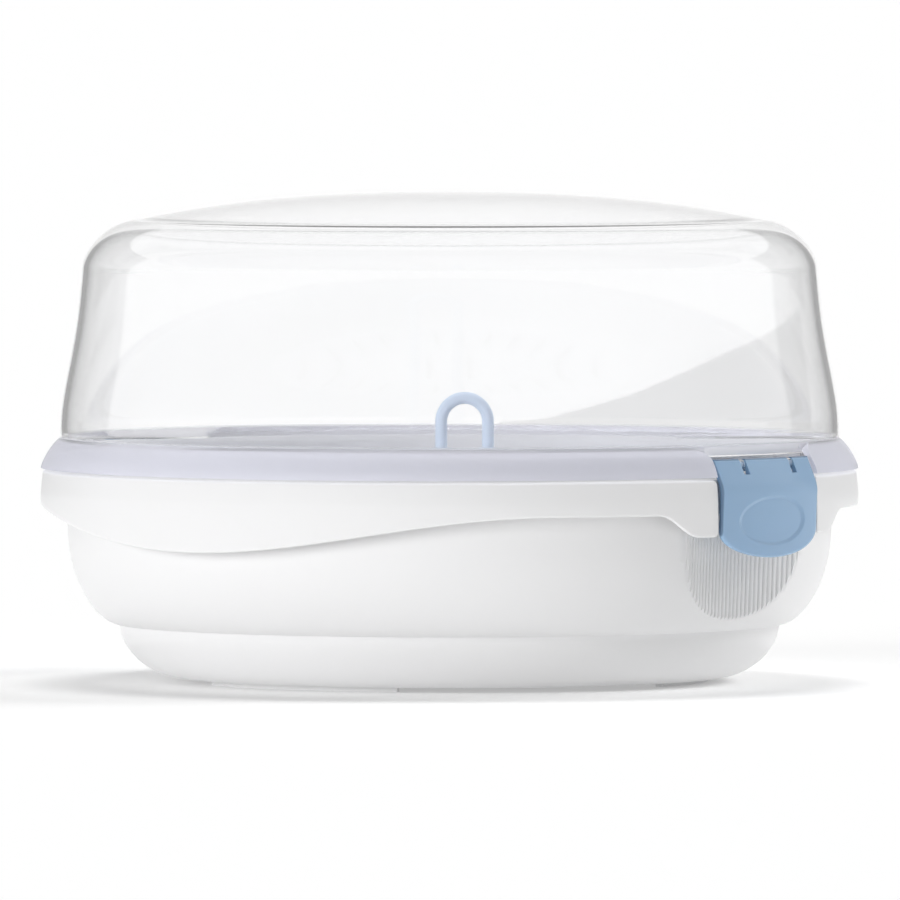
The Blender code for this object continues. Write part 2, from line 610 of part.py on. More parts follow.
def lid(parts, cutters, clear):
    flange = flange_line(FLANGE_POINTS)
    fork = SKIRTING_HEIGHT - FLANGE_WALL
    under = inset(flange_line(INNER_POINTS), FLANGE_WALL)[::-1]
    flange_inner = [point for point in under if point[1] < fork]
    flange_inner[0] = (FLANGE_RADIUS - FLANGE_WALL, FLANGE_HEIGHT)
    rib = [(LID_RIB_OUTER, fork - LID_RIB_WALL), (LID_RIB_OUTER, LID_RIB_FOOT),
           (LID_RIB_OUTER - LID_RIB_WALL, LID_RIB_FOOT)]
    inner = inset(lid_line(ROOF_POINTS, INNER_POINTS), LID_WALL)[::-1]
    chain = lid_line() + flange[1:] + flange_inner + rib + inner
    dome = turned("lid", chain, parts)
    notch = 2 * math.asin(FLANGE_NOTCH_HALF / FLANGE_RADIUS)
    trim = ((SKIRTING_RADIUS + GAP, SKIRTING_HEIGHT + OVERRUN),
            (FLANGE_RADIUS + OVERRUN, SKIRTING_HEIGHT + OVERRUN),
            (FLANGE_RADIUS + OVERRUN, LID_RIB_FOOT - OVERRUN),
            (LID_RIB_OUTER + GAP, LID_RIB_FOOT - OVERRUN),
            (LID_RIB_OUTER + GAP, fork - LID_RIB_WALL),
            (SKIRTING_RADIUS + GAP, SKIRTING_HEIGHT))
    for side, turn in (("right", 0.0), ("left", math.pi)):
        cut = as_cutter(swept_arc(f"flange_notch_{side}", trim, turn, notch, POCKET_STEPS, cutters))
        boolean(dome, cut, "DIFFERENCE")
        for mark, offset in (("a", LUG_OFFSET), ("b", -LUG_OFFSET)):
            lug = as_cutter(lug_plate(f"lug_{side}_{mark}", offset, cutters))
            lug.data.transform(Matrix.Rotation(turn, 4, "Z"))
            boolean(dome, lug, "UNION")
        bore = as_cutter(pin_rod(f"lug_bore_{side}", PIN_RADIUS + GAP,
                                 PIN_HALF_LENGTH + OVERRUN, cutters))
        bore.data.transform(Matrix.Rotation(turn, 4, "Z"))
        boolean(dome, bore, "DIFFERENCE")
    smooth(dome, clear)
    return dome


def pin_rod(name, radius, half_length, group):
    """A bar along the hinge axis of the clip on +X."""
    along_y = Matrix.Rotation(math.pi / 2, 4, "X")
    place = Matrix.Translation((PIN_X, 0.0, PIN_Z)) @ along_y
    return rod(name, radius, 2 * half_length, PIN_STEPS, place, group)


def lug_plate(name, offset, group):
    """An ear on the lid's wall with a round end about the hinge axis."""
    root = math.sqrt((LID_RIB_OUTER - LID_RIB_WALL / 2) ** 2 - offset ** 2)
    outline = [(root, PIN_Z - BARREL_RADIUS)]
    for i in range(LUG_STEPS + 1):
        angle = -math.pi / 2 + math.pi * i / LUG_STEPS
        outline.append((PIN_X + BARREL_RADIUS * math.cos(angle), PIN_Z + BARREL_RADIUS * math.sin(angle)))
    outline.append((root, PIN_Z + BARREL_RADIUS))
    flat = Matrix(((1, 0, 0, 0), (0, 0, -1, offset), (0, 1, 0, 0), (0, 0, 0, 1)))
    return prism(name, outline, LUG_WIDTH, flat, group)


# The clips
def clip_side_line():
    """Closed section of the clip's plate in the XZ plane."""
    outer = [(CLIP_TOP_RADIUS, CLIP_TOP_HEIGHT), (CLIP_BROW_RADIUS, CLIP_BROW_HEIGHT),
             (CLIP_KNEE_RADIUS, CLIP_KNEE_HEIGHT), (CLIP_TOE_RADIUS, CLIP_TOE_HEIGHT)]
    inner = inset(outer[1:], CLIP_WALL)
    return outer + inner[::-1][:-1] + [(CLIP_TOP_RADIUS - CLIP_TOP_WALL, CLIP_BROW_HEIGHT),
                                       (CLIP_TOP_RADIUS - CLIP_TOP_WALL, CLIP_TOP_HEIGHT)]


def clip_front_line():
    """Front outline of the clip in the YZ plane: straight sides and a round bottom."""
    outline = [(CLIP_HALF_WIDTH, CLIP_TOP_HEIGHT + OVERRUN), (-CLIP_HALF_WIDTH, CLIP_TOP_HEIGHT + OVERRUN)]
    for i in range(CLIP_STATIONS + 1):
        angle = math.pi * i / CLIP_STATIONS
        outline.append((-CLIP_HALF_WIDTH * math.cos(angle),
                        CLIP_SIDE_HEIGHT - (CLIP_SIDE_HEIGHT - CLIP_TOE_HEIGHT) * math.sin(angle)))
    return outline


def clip_plate(name, parts, cutters):
    """The plate, cut to its outline and dimpled while flat, then bent round the lid."""
    along_y = Matrix(((1, 0, 0, 0), (0, 0, -1, 0), (0, 1, 0, 0), (0, 0, 0, 1)))
    facing_x = Matrix(((0, 0, 1, CLIP_KNEE_RADIUS), (1, 0, 0, 0), (0, 1, 0, 0), (0, 0, 0, 1)))
    plate = prism(name, clip_side_line(), 2 * CLIP_HALF_WIDTH + OVERRUN, along_y, parts)
    outline = prism("clip_outline", clip_front_line(), CLIP_HALF_WIDTH, facing_x, cutters)
    boolean(plate, outline, "INTERSECT")
    settle(plate)
    rim = ellipse_rod("dimple_rim", DIMPLE_HALF_WIDTH + DIMPLE_RIM, DIMPLE_HALF_HEIGHT + DIMPLE_RIM,
                      2 * DIMPLE_RIM_RISE, cutters)
    boolean(plate, rim, "UNION")
    settle(plate)
    dish = dimple("dimple", cutters)
    boolean(plate, dish, "DIFFERENCE")
    settle(plate)
    for tool in (outline, rim, dish):
        bpy.data.objects.remove(tool, do_unlink=True)
    bend(plate)
    return plate


def ellipse_rod(name, half_width, half_height, depth, group):
    """An elliptical disc that stands half proud of the clip's face."""
    face = dimple_face()
    turn = Matrix.Rotation(math.pi / 2, 4, "Y")
    scale = Matrix.Diagonal((1.0, half_width / half_height, 1.0, 1.0))
    place = Matrix.Translation((face, 0.0, DIMPLE_HEIGHT)) @ scale @ turn
    return rod(name, half_height, depth, ROUND_STEPS, place, group)


def dimple_face():
    """How far out the clip's face lies at the dimple's height."""
    share = (CLIP_KNEE_HEIGHT - DIMPLE_HEIGHT) / (CLIP_KNEE_HEIGHT - CLIP_TOE_HEIGHT)
    return CLIP_KNEE_RADIUS + (CLIP_TOE_RADIUS - CLIP_KNEE_RADIUS) * share


def dimple(name, group):
    """A flattened ball that hollows the clip's face over an oval."""
    lift = DIMPLE_BALL - DIMPLE_DEPTH
    spread = 1 / math.sqrt(1 - (lift / DIMPLE_BALL) ** 2)
    ball = bmesh.new()
    bmesh.ops.create_uvsphere(ball, u_segments=ROUND_STEPS, v_segments=ROUND_STEPS // 2, radius=1.0)
    mesh = bpy.data.meshes.new(name)
    ball.to_mesh(mesh)
    ball.free()
    turn = Matrix.Rotation(math.pi / 2, 4, "Y")
    scale = Matrix.Diagonal((DIMPLE_BALL, DIMPLE_HALF_WIDTH * spread, DIMPLE_HALF_HEIGHT * spread, 1.0))
    place = Matrix.Translation((dimple_face() + lift, 0.0, DIMPLE_HEIGHT))
    mesh.transform(place @ scale @ turn)
    return add_object(name, mesh, group)


def bend(plate):
    """Slices a flat plate along Y and draws its sides back on the lid's curve."""
    solid = bmesh.new()
    solid.from_mesh(plate.data)
    for i in range(1, CLIP_STATIONS):
        across = (2 * i / CLIP_STATIONS - 1) * CLIP_HALF_WIDTH
        bmesh.ops.bisect_plane(solid, geom=[*solid.verts, *solid.edges, *solid.faces],
                               dist=MERGE, plane_co=(0.0, across, 0.0), plane_no=(0.0, 1.0, 0.0))
    for vert in solid.verts:
        vert.co.x -= CLIP_KNEE_RADIUS - math.sqrt(CLIP_KNEE_RADIUS ** 2 - vert.co.y ** 2)
    solid.to_mesh(plate.data)
    solid.free()


def clip(side, turn, parts, cutters, blue):
    name = f"clip_{side}"
    plate = clip_plate(name, parts, cutters)
    nib_inner = PANEL_RADIUS + CATCH_RISE + NIB_CLEARANCE
    nib_top = PANEL_LOW - NIB_DROP
    nib_outer = CLIP_TOE_RADIUS - CLIP_WALL + NIB_ROOT
    nib_line = block_line(nib_inner, nib_outer, nib_top - NIB_HEIGHT, nib_top)
    nib_sweep = 2 * math.asin(CATCH_HALF_WIDTH * NIB_SHARE / PANEL_RADIUS)
    tools = [(pin_rod(f"barrel_{side}", BARREL_RADIUS, BARREL_HALF_LENGTH, cutters), "UNION"),
             (swept_arc(f"nib_{side}", nib_line, 0.0, nib_sweep, POCKET_STEPS, cutters), "UNION")]
    for mark, offset in (("a", LUG_OFFSET), ("b", -LUG_OFFSET)):
        tools.append((lug_slot(f"slot_{side}_{mark}", offset, cutters), "DIFFERENCE"))
    tools.append((pin_rod(f"clip_bore_{side}", PIN_RADIUS + GAP, PIN_HALF_LENGTH + GAP, cutters),
                  "DIFFERENCE"))
    about = Matrix.Rotation(turn, 4, "Z")
    for tool, operation in tools:
        tool.data.transform(about)
        boolean(plate, as_cutter(tool), operation)
    plate.data.transform(about)
    smooth(plate, blue)
    return plate


def lug_slot(name, offset, group):
    """The gap at the clip's top in which one of the lid's ears stands."""
    high = CLIP_TOP_HEIGHT + OVERRUN
    wide = LUG_WIDTH + 2 * GAP
    reach = CLIP_KNEE_RADIUS + OVERRUN
    near = LID_RIB_OUTER
    outline = ((near, LUG_SLOT_LOW), (reach, LUG_SLOT_LOW), (reach, high), (near, high))
    flat = Matrix(((1, 0, 0, 0), (0, 0, -1, offset), (0, 1, 0, 0), (0, 0, 0, 1)))
    return prism(name, outline, wide, flat, group)


# The tray
def tray_line():
    """Closed outline of the tray from its rolled rim to the centre of its floor."""
    ledge = bowl_inner_line()[::-1]
    foot_low = height_at(ledge, TRAY_FOOT_OUTER) + GAP
    floor_low = foot_low + TRAY_FLOOR_RISE
    outer = [(TRAY_RIM_RADIUS - TRAY_ROLL / 2, TRAY_RIM_HEIGHT),
             (TRAY_RIM_RADIUS, TRAY_RIM_HEIGHT - TRAY_ROLL / 2),
             (TRAY_RIM_RADIUS, TRAY_RIM_HEIGHT - TRAY_ROLL),
             (TRAY_RIM_RADIUS - TRAY_ROLL / 2, TRAY_RIM_HEIGHT - TRAY_ROLL),
             (TRAY_SIDE_RADIUS, TRAY_SIDE_HEIGHT),
             (TRAY_FOOT_OUTER, floor_low),
             (TRAY_FOOT_OUTER, foot_low),
             (TRAY_FOOT_INNER, foot_low),
             (TRAY_FOOT_INNER, floor_low),
             (0.0, floor_low)]
    inner = [(0.0, floor_low + TRAY_WALL),
             (TRAY_FOOT_OUTER - TRAY_WALL, floor_low + TRAY_WALL),
             (TRAY_SIDE_RADIUS - TRAY_WALL, TRAY_SIDE_HEIGHT),
             (TRAY_RIM_RADIUS - TRAY_ROLL / 2 - TRAY_WALL, TRAY_RIM_HEIGHT - TRAY_ROLL),
             (TRAY_RIM_RADIUS - TRAY_ROLL / 2 - TRAY_WALL / 2, TRAY_RIM_HEIGHT)]
    return inner + outer, floor_low


def stadium(start, end, half_width):
    """Outline of a round-ended slot along X."""
    outline = []
    for middle, first in ((end - half_width, -math.pi / 2), (start + half_width, math.pi / 2)):
        for i in range(SLOT_END_STEPS + 1):
            angle = first + math.pi * i / SLOT_END_STEPS
            outline.append((middle + half_width * math.cos(angle), half_width * math.sin(angle)))
    return outline


def tray(parts, cutters, blue):
    chain, floor_low = tray_line()
    dish = turned("tray", chain, parts)
    floor_top = floor_low + TRAY_WALL
    slots = []
    for label, count, start, end in (("outer", OUTER_SLOTS, OUTER_SLOT_START, OUTER_SLOT_END),
                                     ("inner", INNER_SLOTS, INNER_SLOT_START, INNER_SLOT_END)):
        for i in range(count):
            place = (Matrix.Translation((0.0, 0.0, floor_low + TRAY_WALL / 2))
                     @ Matrix.Rotation(LOOP_TURN + math.tau * (i + SLOT_PHASE_SHARE) / count, 4, "Z"))
            slots.append(prism(f"{label}_slot", stadium(start, end, SLOT_WIDTH / 2),
                               TRAY_WALL + OVERRUN / 2, place, cutters))
    boolean(dish, as_cutter(join("steam_slots", slots, cutters)), "DIFFERENCE")
    turn = Matrix.Rotation(LOOP_TURN, 4, "Z")
    half = LOOP_INNER_WIDTH / 2 + LOOP_ROD + BLOCK_MARGIN
    thick = LOOP_ROD / 2 + BLOCK_MARGIN
    high = floor_top + BLOCK_HEIGHT
    middle = Matrix.Translation((LOOP_OFFSET, 0.0, (high + floor_low + TRAY_WALL / 2) / 2))
    block = prism("loop_block", stadium(-half, half, thick), high - floor_low - TRAY_WALL / 2,
                  turn @ middle, cutters)
    boolean(dish, as_cutter(block), "UNION")
    for mark, sign in (("a", 1), ("b", -1)):
        centre = LOOP_OFFSET + sign * (LOOP_INNER_WIDTH + LOOP_ROD) / 2
        place = turn @ Matrix.Translation((centre, 0.0, high - SOCKET_DEPTH / 2 + OVERRUN / 2))
        socket = rod(f"socket_{mark}", LOOP_ROD / 2 + GAP, SOCKET_DEPTH + OVERRUN, ROD_STEPS,
                     place, cutters)
        boolean(dish, as_cutter(socket), "DIFFERENCE")
    smooth(dish, blue)
    return dish, high - SOCKET_DEPTH + GAP


def lift_loop(parts, foot_height, blue):
    """The inverted U: two legs in the tray's sockets and a half-round arch."""
    half = (LOOP_INNER_WIDTH + LOOP_ROD) / 2
    arch_height = LOOP_TOP_HEIGHT - LOOP_ROD / 2 - half
    route = [(half, foot_height)]
    for i in range(LOOP_ARCH_POINTS + 1):
        angle = math.pi * i / LOOP_ARCH_POINTS
        route.append((half * math.cos(angle), arch_height + half * math.sin(angle)))
    route.append((-half, foot_height))
    curve = bpy.data.curves.new("lift_loop", "CURVE")
    curve.dimensions = "3D"
    curve.bevel_depth = LOOP_ROD / 2
    curve.bevel_resolution = LOOP_BEVEL_STEPS
    curve.use_fill_caps = True
    spline = curve.splines.new("POLY")
    spline.points.add(len(route) - 1)
    for point, (across, height) in zip(spline.points, route):
        point.co = (LOOP_OFFSET + across, 0.0, height, 1.0)
    loop = add_object("lift_loop", curve, parts)
    loop.rotation_euler.z = LOOP_TURN
    curve.materials.append(blue)
    return loop


# Assembly
def set_origin(thing, point):
    """Moves a piece's origin to a point without moving the piece."""
    thing.data.transform(Matrix.Translation(-Vector(point)))
    thing.location = point


def main():
    clear_scene()
    parts = new_collection("bottle_steriliser")
    cutters = new_collection("cutters")
    white = plastic("white_plastic", (0.86, 0.86, 0.86), 0.25)
    clear = plastic("clear_plastic", (0.95, 0.96, 0.98), 0.05, 1.0)
    pale_blue = plastic("pale_blue_plastic", (0.52, 0.64, 0.84), 0.30)
    blue = plastic("blue_plastic", (0.30, 0.49, 0.70), 0.22)
    base_bowl(parts, cutters, white)
    rim_ring(parts, cutters, white)
    _, foot_height = tray(parts, cutters, pale_blue)
    lift_loop(parts, foot_height, pale_blue)
    lid(parts, cutters, clear)
    for side, turn in (("right", 0.0), ("left", math.pi)):
        hinge = Matrix.Rotation(turn, 3, "Z") @ Vector((PIN_X, 0.0, PIN_Z))
        set_origin(clip(side, turn, parts, cutters, blue), hinge)
        pin = pin_rod(f"hinge_pin_{side}", PIN_RADIUS, PIN_HALF_LENGTH, parts)
        pin.data.transform(Matrix.Rotation(turn, 4, "Z"))
        set_origin(pin, hinge)
        smooth(pin, blue)


main()
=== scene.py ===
# %% [markdown]
# # A microwave steam steriliser for baby bottles
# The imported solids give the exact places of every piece. This lesson dresses them: it loads
# them as a fixed frame, sets up the studio, makes one material for each plastic, and then
# builds a smooth, finished version of each moulding in the space that its solid holds.

# %% The frame
import math

import bmesh
import bpy
import numpy as np
from mathutils import Matrix, Vector


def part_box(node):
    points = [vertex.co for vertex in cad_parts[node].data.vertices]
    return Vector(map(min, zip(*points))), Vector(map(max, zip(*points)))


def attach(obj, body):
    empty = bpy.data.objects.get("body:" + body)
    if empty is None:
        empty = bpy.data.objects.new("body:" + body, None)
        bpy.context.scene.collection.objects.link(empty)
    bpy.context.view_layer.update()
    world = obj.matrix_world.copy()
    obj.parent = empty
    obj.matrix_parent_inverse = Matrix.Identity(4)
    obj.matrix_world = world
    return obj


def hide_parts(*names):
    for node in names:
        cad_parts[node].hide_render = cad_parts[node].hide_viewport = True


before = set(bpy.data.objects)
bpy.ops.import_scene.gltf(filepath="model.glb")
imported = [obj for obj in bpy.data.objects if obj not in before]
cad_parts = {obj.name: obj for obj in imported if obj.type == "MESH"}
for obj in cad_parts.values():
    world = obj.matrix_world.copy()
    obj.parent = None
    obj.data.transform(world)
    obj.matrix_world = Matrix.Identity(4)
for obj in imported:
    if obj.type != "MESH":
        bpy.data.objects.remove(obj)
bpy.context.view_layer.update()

# %% [markdown]
# ## The camera
# The photograph was taken from far away with a long lens, almost level with the object, and
# turned so that one clip shows near the right edge. A long lens keeps the two rims nearly
# parallel, so the distance matters as much as the direction.

# %% Camera
VIEW_TURN = math.radians(38.5)       # from the front, towards the clip on +X
VIEW_RISE = math.radians(1.84)
VIEW_DISTANCE = 5.8
LENS_MM = 682.4
SENSOR_MM = 36.0
AIM = Vector((0.0001, 0.0001, 0.0784))

to_camera = Vector((math.sin(VIEW_TURN) * math.cos(VIEW_RISE),
                    -math.cos(VIEW_TURN) * math.cos(VIEW_RISE),
                    math.sin(VIEW_RISE)))
camera_data = bpy.data.cameras.new("camera")
camera_data.lens = LENS_MM
camera_data.sensor_width = SENSOR_MM
camera = bpy.data.objects.new("camera", camera_data)
camera.location = AIM + to_camera * VIEW_DISTANCE
camera.rotation_euler = (-to_camera).to_track_quat("-Z", "Y").to_euler()
bpy.context.scene.collection.objects.link(camera)
bpy.context.scene.camera = camera
bpy.context.scene.view_settings.view_transform = "Standard"
print("camera at", tuple(round(value, 3) for value in camera.location))

# %% [markdown]
# ## Reading and linking shader nodes
# Every material below is a small node tree. These helpers add a node with its settings and
# join two sockets, so that each material reads as a short recipe.

# %% Node helpers
def add_node(tree, kind, sockets=None, **settings):
    """Adds a node. A socket takes another node's output or a plain value."""
    node = tree.nodes.new(kind)
    for name, value in settings.items():
        setattr(node, name, value)
    for name, value in (sockets or {}).items():
        if isinstance(value, bpy.types.NodeSocket):
            tree.links.new(value, node.inputs[name])
        else:
            node.inputs[name].default_value = value
    return node


def empty_material(name):
    material = bpy.data.materials.new(name)
    material.use_nodes = True
    material.node_tree.nodes.clear()
    return material, material.node_tree


def opaque(colour):
    return (*colour, 1.0)


def mix_colours(tree, factor, first, second):
    """Mixes two colours, each plain or from another node."""
    first, second = (opaque(colour) if isinstance(colour, tuple) else colour
                     for colour in (first, second))
    return add_node(tree, "ShaderNodeMix", {"Factor": factor, "A": first, "B": second},
                    data_type="RGBA").outputs["Result"]


def scale_range(tree, value, low, high):
    """Maps a 0 to 1 value onto a range."""
    return add_node(tree, "ShaderNodeMapRange",
                    {"Value": value, "To Min": low, "To Max": high}).outputs["Result"]


def calculate(tree, operation, *values):
    """One step of arithmetic on sockets and plain numbers."""
    return add_node(tree, "ShaderNodeMath", dict(enumerate(values)), operation=operation).outputs[0]


def between(tree, value, low, high):
    """0 at the low value, 1 at the high one, and a soft step from one to the other."""
    return add_node(tree, "ShaderNodeMapRange",
                    {"Value": value, "From Min": low, "From Max": high},
                    interpolation_type="SMOOTHSTEP").outputs["Result"]


def object_place(tree):
    """The place in the object's own space, so that a pattern stays on the piece in every pose."""
    return add_node(tree, "ShaderNodeTexCoord").outputs["Object"]


def object_axes(tree):
    return add_node(tree, "ShaderNodeSeparateXYZ", {0: object_place(tree)}).outputs


def noise(tree, scale, detail, seed):
    return add_node(tree, "ShaderNodeTexNoise",
                    {"Vector": object_place(tree), "Scale": scale, "Detail": detail, "W": seed},
                    noise_dimensions="4D").outputs["Fac"]

# %% [markdown]
# ## Meshes from points
# Every shape below ends as a list of points and a list of faces.

# %% Mesh helper
def mesh_object(name, points, faces):
    mesh = bpy.data.meshes.new(name)
    mesh.from_pydata([tuple(point) for point in points], [], faces)
    mesh.validate()
    thing = bpy.data.objects.new(name, mesh)
    bpy.context.scene.collection.objects.link(thing)
    return thing

# %% [markdown]
# ## Studio: a white room
# The background of the photograph is pure white, but the object isn't overlit. Light Path
# tells a shader what kind of ray asks for its colour. Rays from the camera, and those that
# gloss or clear plastic passes on, see a white room; the rest get the softer light that
# really falls on the object.

# %% World
ROOM_FILL = 0.20
WHITE = (1.0, 1.0, 1.0)
SEEN_RAYS = ("Is Camera Ray", "Is Glossy Ray", "Is Transmission Ray")


def ray_share(tree, kinds):
    """1 for rays of the named kinds and 0 for others."""
    path = add_node(tree, "ShaderNodeLightPath")
    total = path.outputs[kinds[0]]
    for kind in kinds[1:]:
        total = calculate(tree, "MAXIMUM", total, path.outputs[kind])
    return total


world = bpy.data.worlds.new("white_room")
world.use_nodes = True
room = world.node_tree
room.nodes.clear()
room_strength = scale_range(room, ray_share(room, SEEN_RAYS), ROOM_FILL, 1.0)
room_light = add_node(room, "ShaderNodeBackground",
                      {"Color": opaque(WHITE), "Strength": room_strength})
add_node(room, "ShaderNodeOutputWorld", {"Surface": room_light.outputs[0]})
bpy.context.scene.world = world
print("room fill", ROOM_FILL)

# %% [markdown]
# ## Lamps
# Three very wide lamps light the object. The first stands low at the left of the camera, as a
# window would, so the side and the undersides there are nearly white. The second stands
# behind the right shoulder of the object, a third of the way up, and lights only its far
# right, so the middle of the right half is the darkest. The third hangs above and a little
# behind, and its soft shadow falls towards the camera. All are suns: their light has one
# strength everywhere, so the floor stays even.

# %% Lamps
image_right = Vector((math.cos(VIEW_TURN), math.sin(VIEW_TURN), 0.0))
image_near = Vector((math.sin(VIEW_TURN), -math.cos(VIEW_TURN), 0.0))


def studio_place(right, near, high):
    """A place given as seen from the camera: to the right, towards it, and up."""
    return image_right * right + image_near * near + Vector((0.0, 0.0, high))


def wide_sun(name, side_degrees, rise_degrees, spread_degrees, share_of_white):
    """A lamp that would light a facing white sheet to that share of white."""
    side, rise = math.radians(side_degrees), math.radians(rise_degrees)
    data = bpy.data.lights.new(name, "SUN")
    data.energy = math.pi * share_of_white
    data.angle = math.radians(spread_degrees)
    lamp = bpy.data.objects.new(name, data)
    towards = studio_place(math.sin(side) * math.cos(rise), math.cos(side) * math.cos(rise),
                           math.sin(rise))
    lamp.rotation_euler = towards.to_track_quat("Z", "Y").to_euler()
    lamp.visible_glossy = False
    lamp.visible_transmission = False
    bpy.context.scene.collection.objects.link(lamp)
    return lamp


window_lamp = wide_sun("window_lamp", -47, 6, 28, 0.66)
side_lamp = wide_sun("side_lamp", 112, 30, 30, 0.44)
ceiling_lamp = wide_sun("ceiling_lamp", 182, 70, 26, 0.40)
print("lamps", window_lamp.name, side_lamp.name, ceiling_lamp.name)

# %% [markdown]
# ## Floor
# The floor is white paper with a soft shadow. Its colour comes from two parts: plain light
# falling on it, which carries the shadow, and a faint glow, as of paper lit from below, which
# lifts the rest to the white of the room and brightens the undersides.

# %% Floor
FLOOR_REACH = 60.0
FLOOR_GLOW = 0.17
FLOOR_COLOUR = (0.95, 0.95, 0.95)

floor = mesh_object("floor", [(x * FLOOR_REACH, y * FLOOR_REACH, 0.0)
                             for x, y in ((-1, -1), (1, -1), (1, 1), (-1, 1))], [(0, 1, 2, 3)])
floor_material, floor_tree = empty_material("floor_paper")
lit_floor = add_node(floor_tree, "ShaderNodeBsdfDiffuse", {"Color": opaque(FLOOR_COLOUR)})
glow = add_node(floor_tree, "ShaderNodeEmission",
                {"Color": opaque(WHITE), "Strength": FLOOR_GLOW})
floor_sum = add_node(floor_tree, "ShaderNodeAddShader",
                     {0: lit_floor.outputs[0], 1: glow.outputs[0]})
add_node(floor_tree, "ShaderNodeOutputMaterial", {"Surface": floor_sum.outputs[0]})
floor.data.materials.append(floor_material)
print("floor glow", FLOOR_GLOW)

# %% [markdown]
# ## Flags: grey cards beside the object
# Clear plastic in a white room has no outline at all. Photographers stand grey cards, called
# flags, just out of the picture, and the curved walls mirror them as grey edges. These are
# two upright curved cards behind the object. Only gloss and clear plastic see them.

# %% Flags
FLAG_RADIUS = 1.6
FLAG_START = math.radians(16)
FLAG_END = math.radians(62)
FLAG_HIGH = 0.9
FLAG_STEPS = 24
FLAG_GREY = 0.45


def studio_card(name, points, faces, grey):
    """A card that glows with a plain grey, and that only gloss and clear plastic see."""
    card = mesh_object(name, points, faces)
    material, tree = empty_material(name)
    shade = add_node(tree, "ShaderNodeEmission", {"Color": opaque(WHITE), "Strength": grey})
    add_node(tree, "ShaderNodeOutputMaterial", {"Surface": shade.outputs[0]})
    card.data.materials.append(material)
    card.visible_camera = False
    card.visible_diffuse = False
    card.visible_shadow = False
    return card


def flag(name, side):
    points = []
    for i in range(FLAG_STEPS + 1):
        turn = FLAG_START + (FLAG_END - FLAG_START) * i / FLAG_STEPS
        points += [studio_place(side * math.sin(turn) * FLAG_RADIUS,
                                -math.cos(turn) * FLAG_RADIUS, height)
                   for height in (0.0, FLAG_HIGH)]
    faces = [(2 * i, 2 * i + 2, 2 * i + 3, 2 * i + 1) for i in range(FLAG_STEPS)]
    thing = studio_card(name, points, faces, FLAG_GREY)
    return thing


flags = [flag("flag_left", -1), flag("flag_right", 1)]
print("flags", [thing.name for thing in flags])

# %% [markdown]
# ## A grey board behind the dome
# In the photograph the lower right of the dome is a little greyer, below an edge that runs
# as a soft arc. It is a board of the studio seen through the dome. This one has the same
# edge, and only rays that passed clear plastic see it.

# %% Grey board
METRES_PER_PIXEL = 0.3402e-3
PICTURE_MIDDLE = 449.5
PICTURE_FLOOR = 680.5                # the row where the floor is right under the axis
BOARD_BEHIND = 0.30
BOARD_GREY = 0.80
BOARD_EDGE = ((500, 437), (540, 432), (600, 416), (640, 404), (700, 380), (740, 363), (780, 348),
              (820, 330), (860, 311), (860, 470), (500, 470))


def behind(x, y):
    """The place behind the object that the camera sees at one point of the picture."""
    scale = METRES_PER_PIXEL * (1 + BOARD_BEHIND / VIEW_DISTANCE)
    high = (PICTURE_FLOOR - y) * scale - BOARD_BEHIND * math.sin(VIEW_RISE)
    return studio_place((x - PICTURE_MIDDLE) * scale, -BOARD_BEHIND, high / math.cos(VIEW_RISE))


board = studio_card("grey_board", [behind(*corner) for corner in BOARD_EDGE],
                    [tuple(range(len(BOARD_EDGE)))], BOARD_GREY)
board.visible_glossy = False
print("board stands", BOARD_BEHIND, "m behind the axis")

# %% [markdown]
# ## Shapes that turn about the axis
# Nearly every moulding here is round, so a potter's way of working does for most of them:
# draw half of the section, as (radius, height) points, and turn it about Z. The solids were
# turned with few facets. Here the same lines are drawn with many more points, so the rims
# and the curved walls catch the light without corners.

# %% Lathe
AXIS_TOUCH = 1e-6
TURN_STEPS = 256


def around(radius, turn, height):
    """The point at a radius, a turn about Z and a height."""
    return (radius * math.cos(turn), radius * math.sin(turn), height)


def lathe(name, line, closed=False, steps=TURN_STEPS):
    """Turns a line about Z. It runs down the outer side; ends on the axis become poles."""
    points, rows, faces = [], [], []
    for radius, height in line:
        count = 1 if radius < AXIS_TOUCH else steps
        rows.append([len(points) + i for i in range(count)])
        points += [around(radius, math.tau * i / steps, height) for i in range(count)]
    pairs = list(zip(rows, rows[1:])) + ([(rows[-1], rows[0])] if closed else [])
    for high, low in pairs:
        for i in range(steps):
            j = (i + 1) % steps
            if len(high) == 1 and len(low) == 1:
                break
            if len(high) == 1:
                faces.append((high[0], low[i], low[j]))
            elif len(low) == 1:
                faces.append((high[i], low[0], high[j]))
            else:
                faces.append((high[i], low[i], low[j], high[j]))
    return mesh_object(name, points, faces)

# %% [markdown]
# ## Drawing a section
# A moulding's section is mostly straight runs with soft corners. These helpers round a
# corner, move a line inwards by a wall, and add points where a line is too coarse.

# %% Section lines
def full_quarter(start, end, points, fullness, corner_at_start_height):
    """A rounded corner between two points. A fullness of 2 is an ellipse."""
    line = []
    for i in range(points + 1):
        angle = math.pi / 2 * i / points
        late = math.sin(angle) ** (2 / fullness)
        early = 1 - math.cos(angle) ** (2 / fullness)
        across, down = (late, early) if corner_at_start_height else (early, late)
        line.append((start[0] + (end[0] - start[0]) * across,
                     start[1] + (end[1] - start[1]) * down))
    return line


def inset(line, wall):
    """The line moved inwards by the thickness of the wall."""
    moved = []
    for i, (radius, height) in enumerate(line):
        before = Vector(line[i]) - Vector(line[i - 1]) if i else None
        after = Vector(line[i + 1]) - Vector(line[i]) if i < len(line) - 1 else None
        sides = [Vector((side.y, -side.x)).normalized() for side in (before, after)
                 if side and side.length > 0]
        normal = sum(sides, Vector((0.0, 0.0))).normalized()
        moved.append((max(radius + normal.x * wall / normal.dot(sides[0]), 0.0),
                      height + normal.y * wall / normal.dot(sides[0])))
    return moved


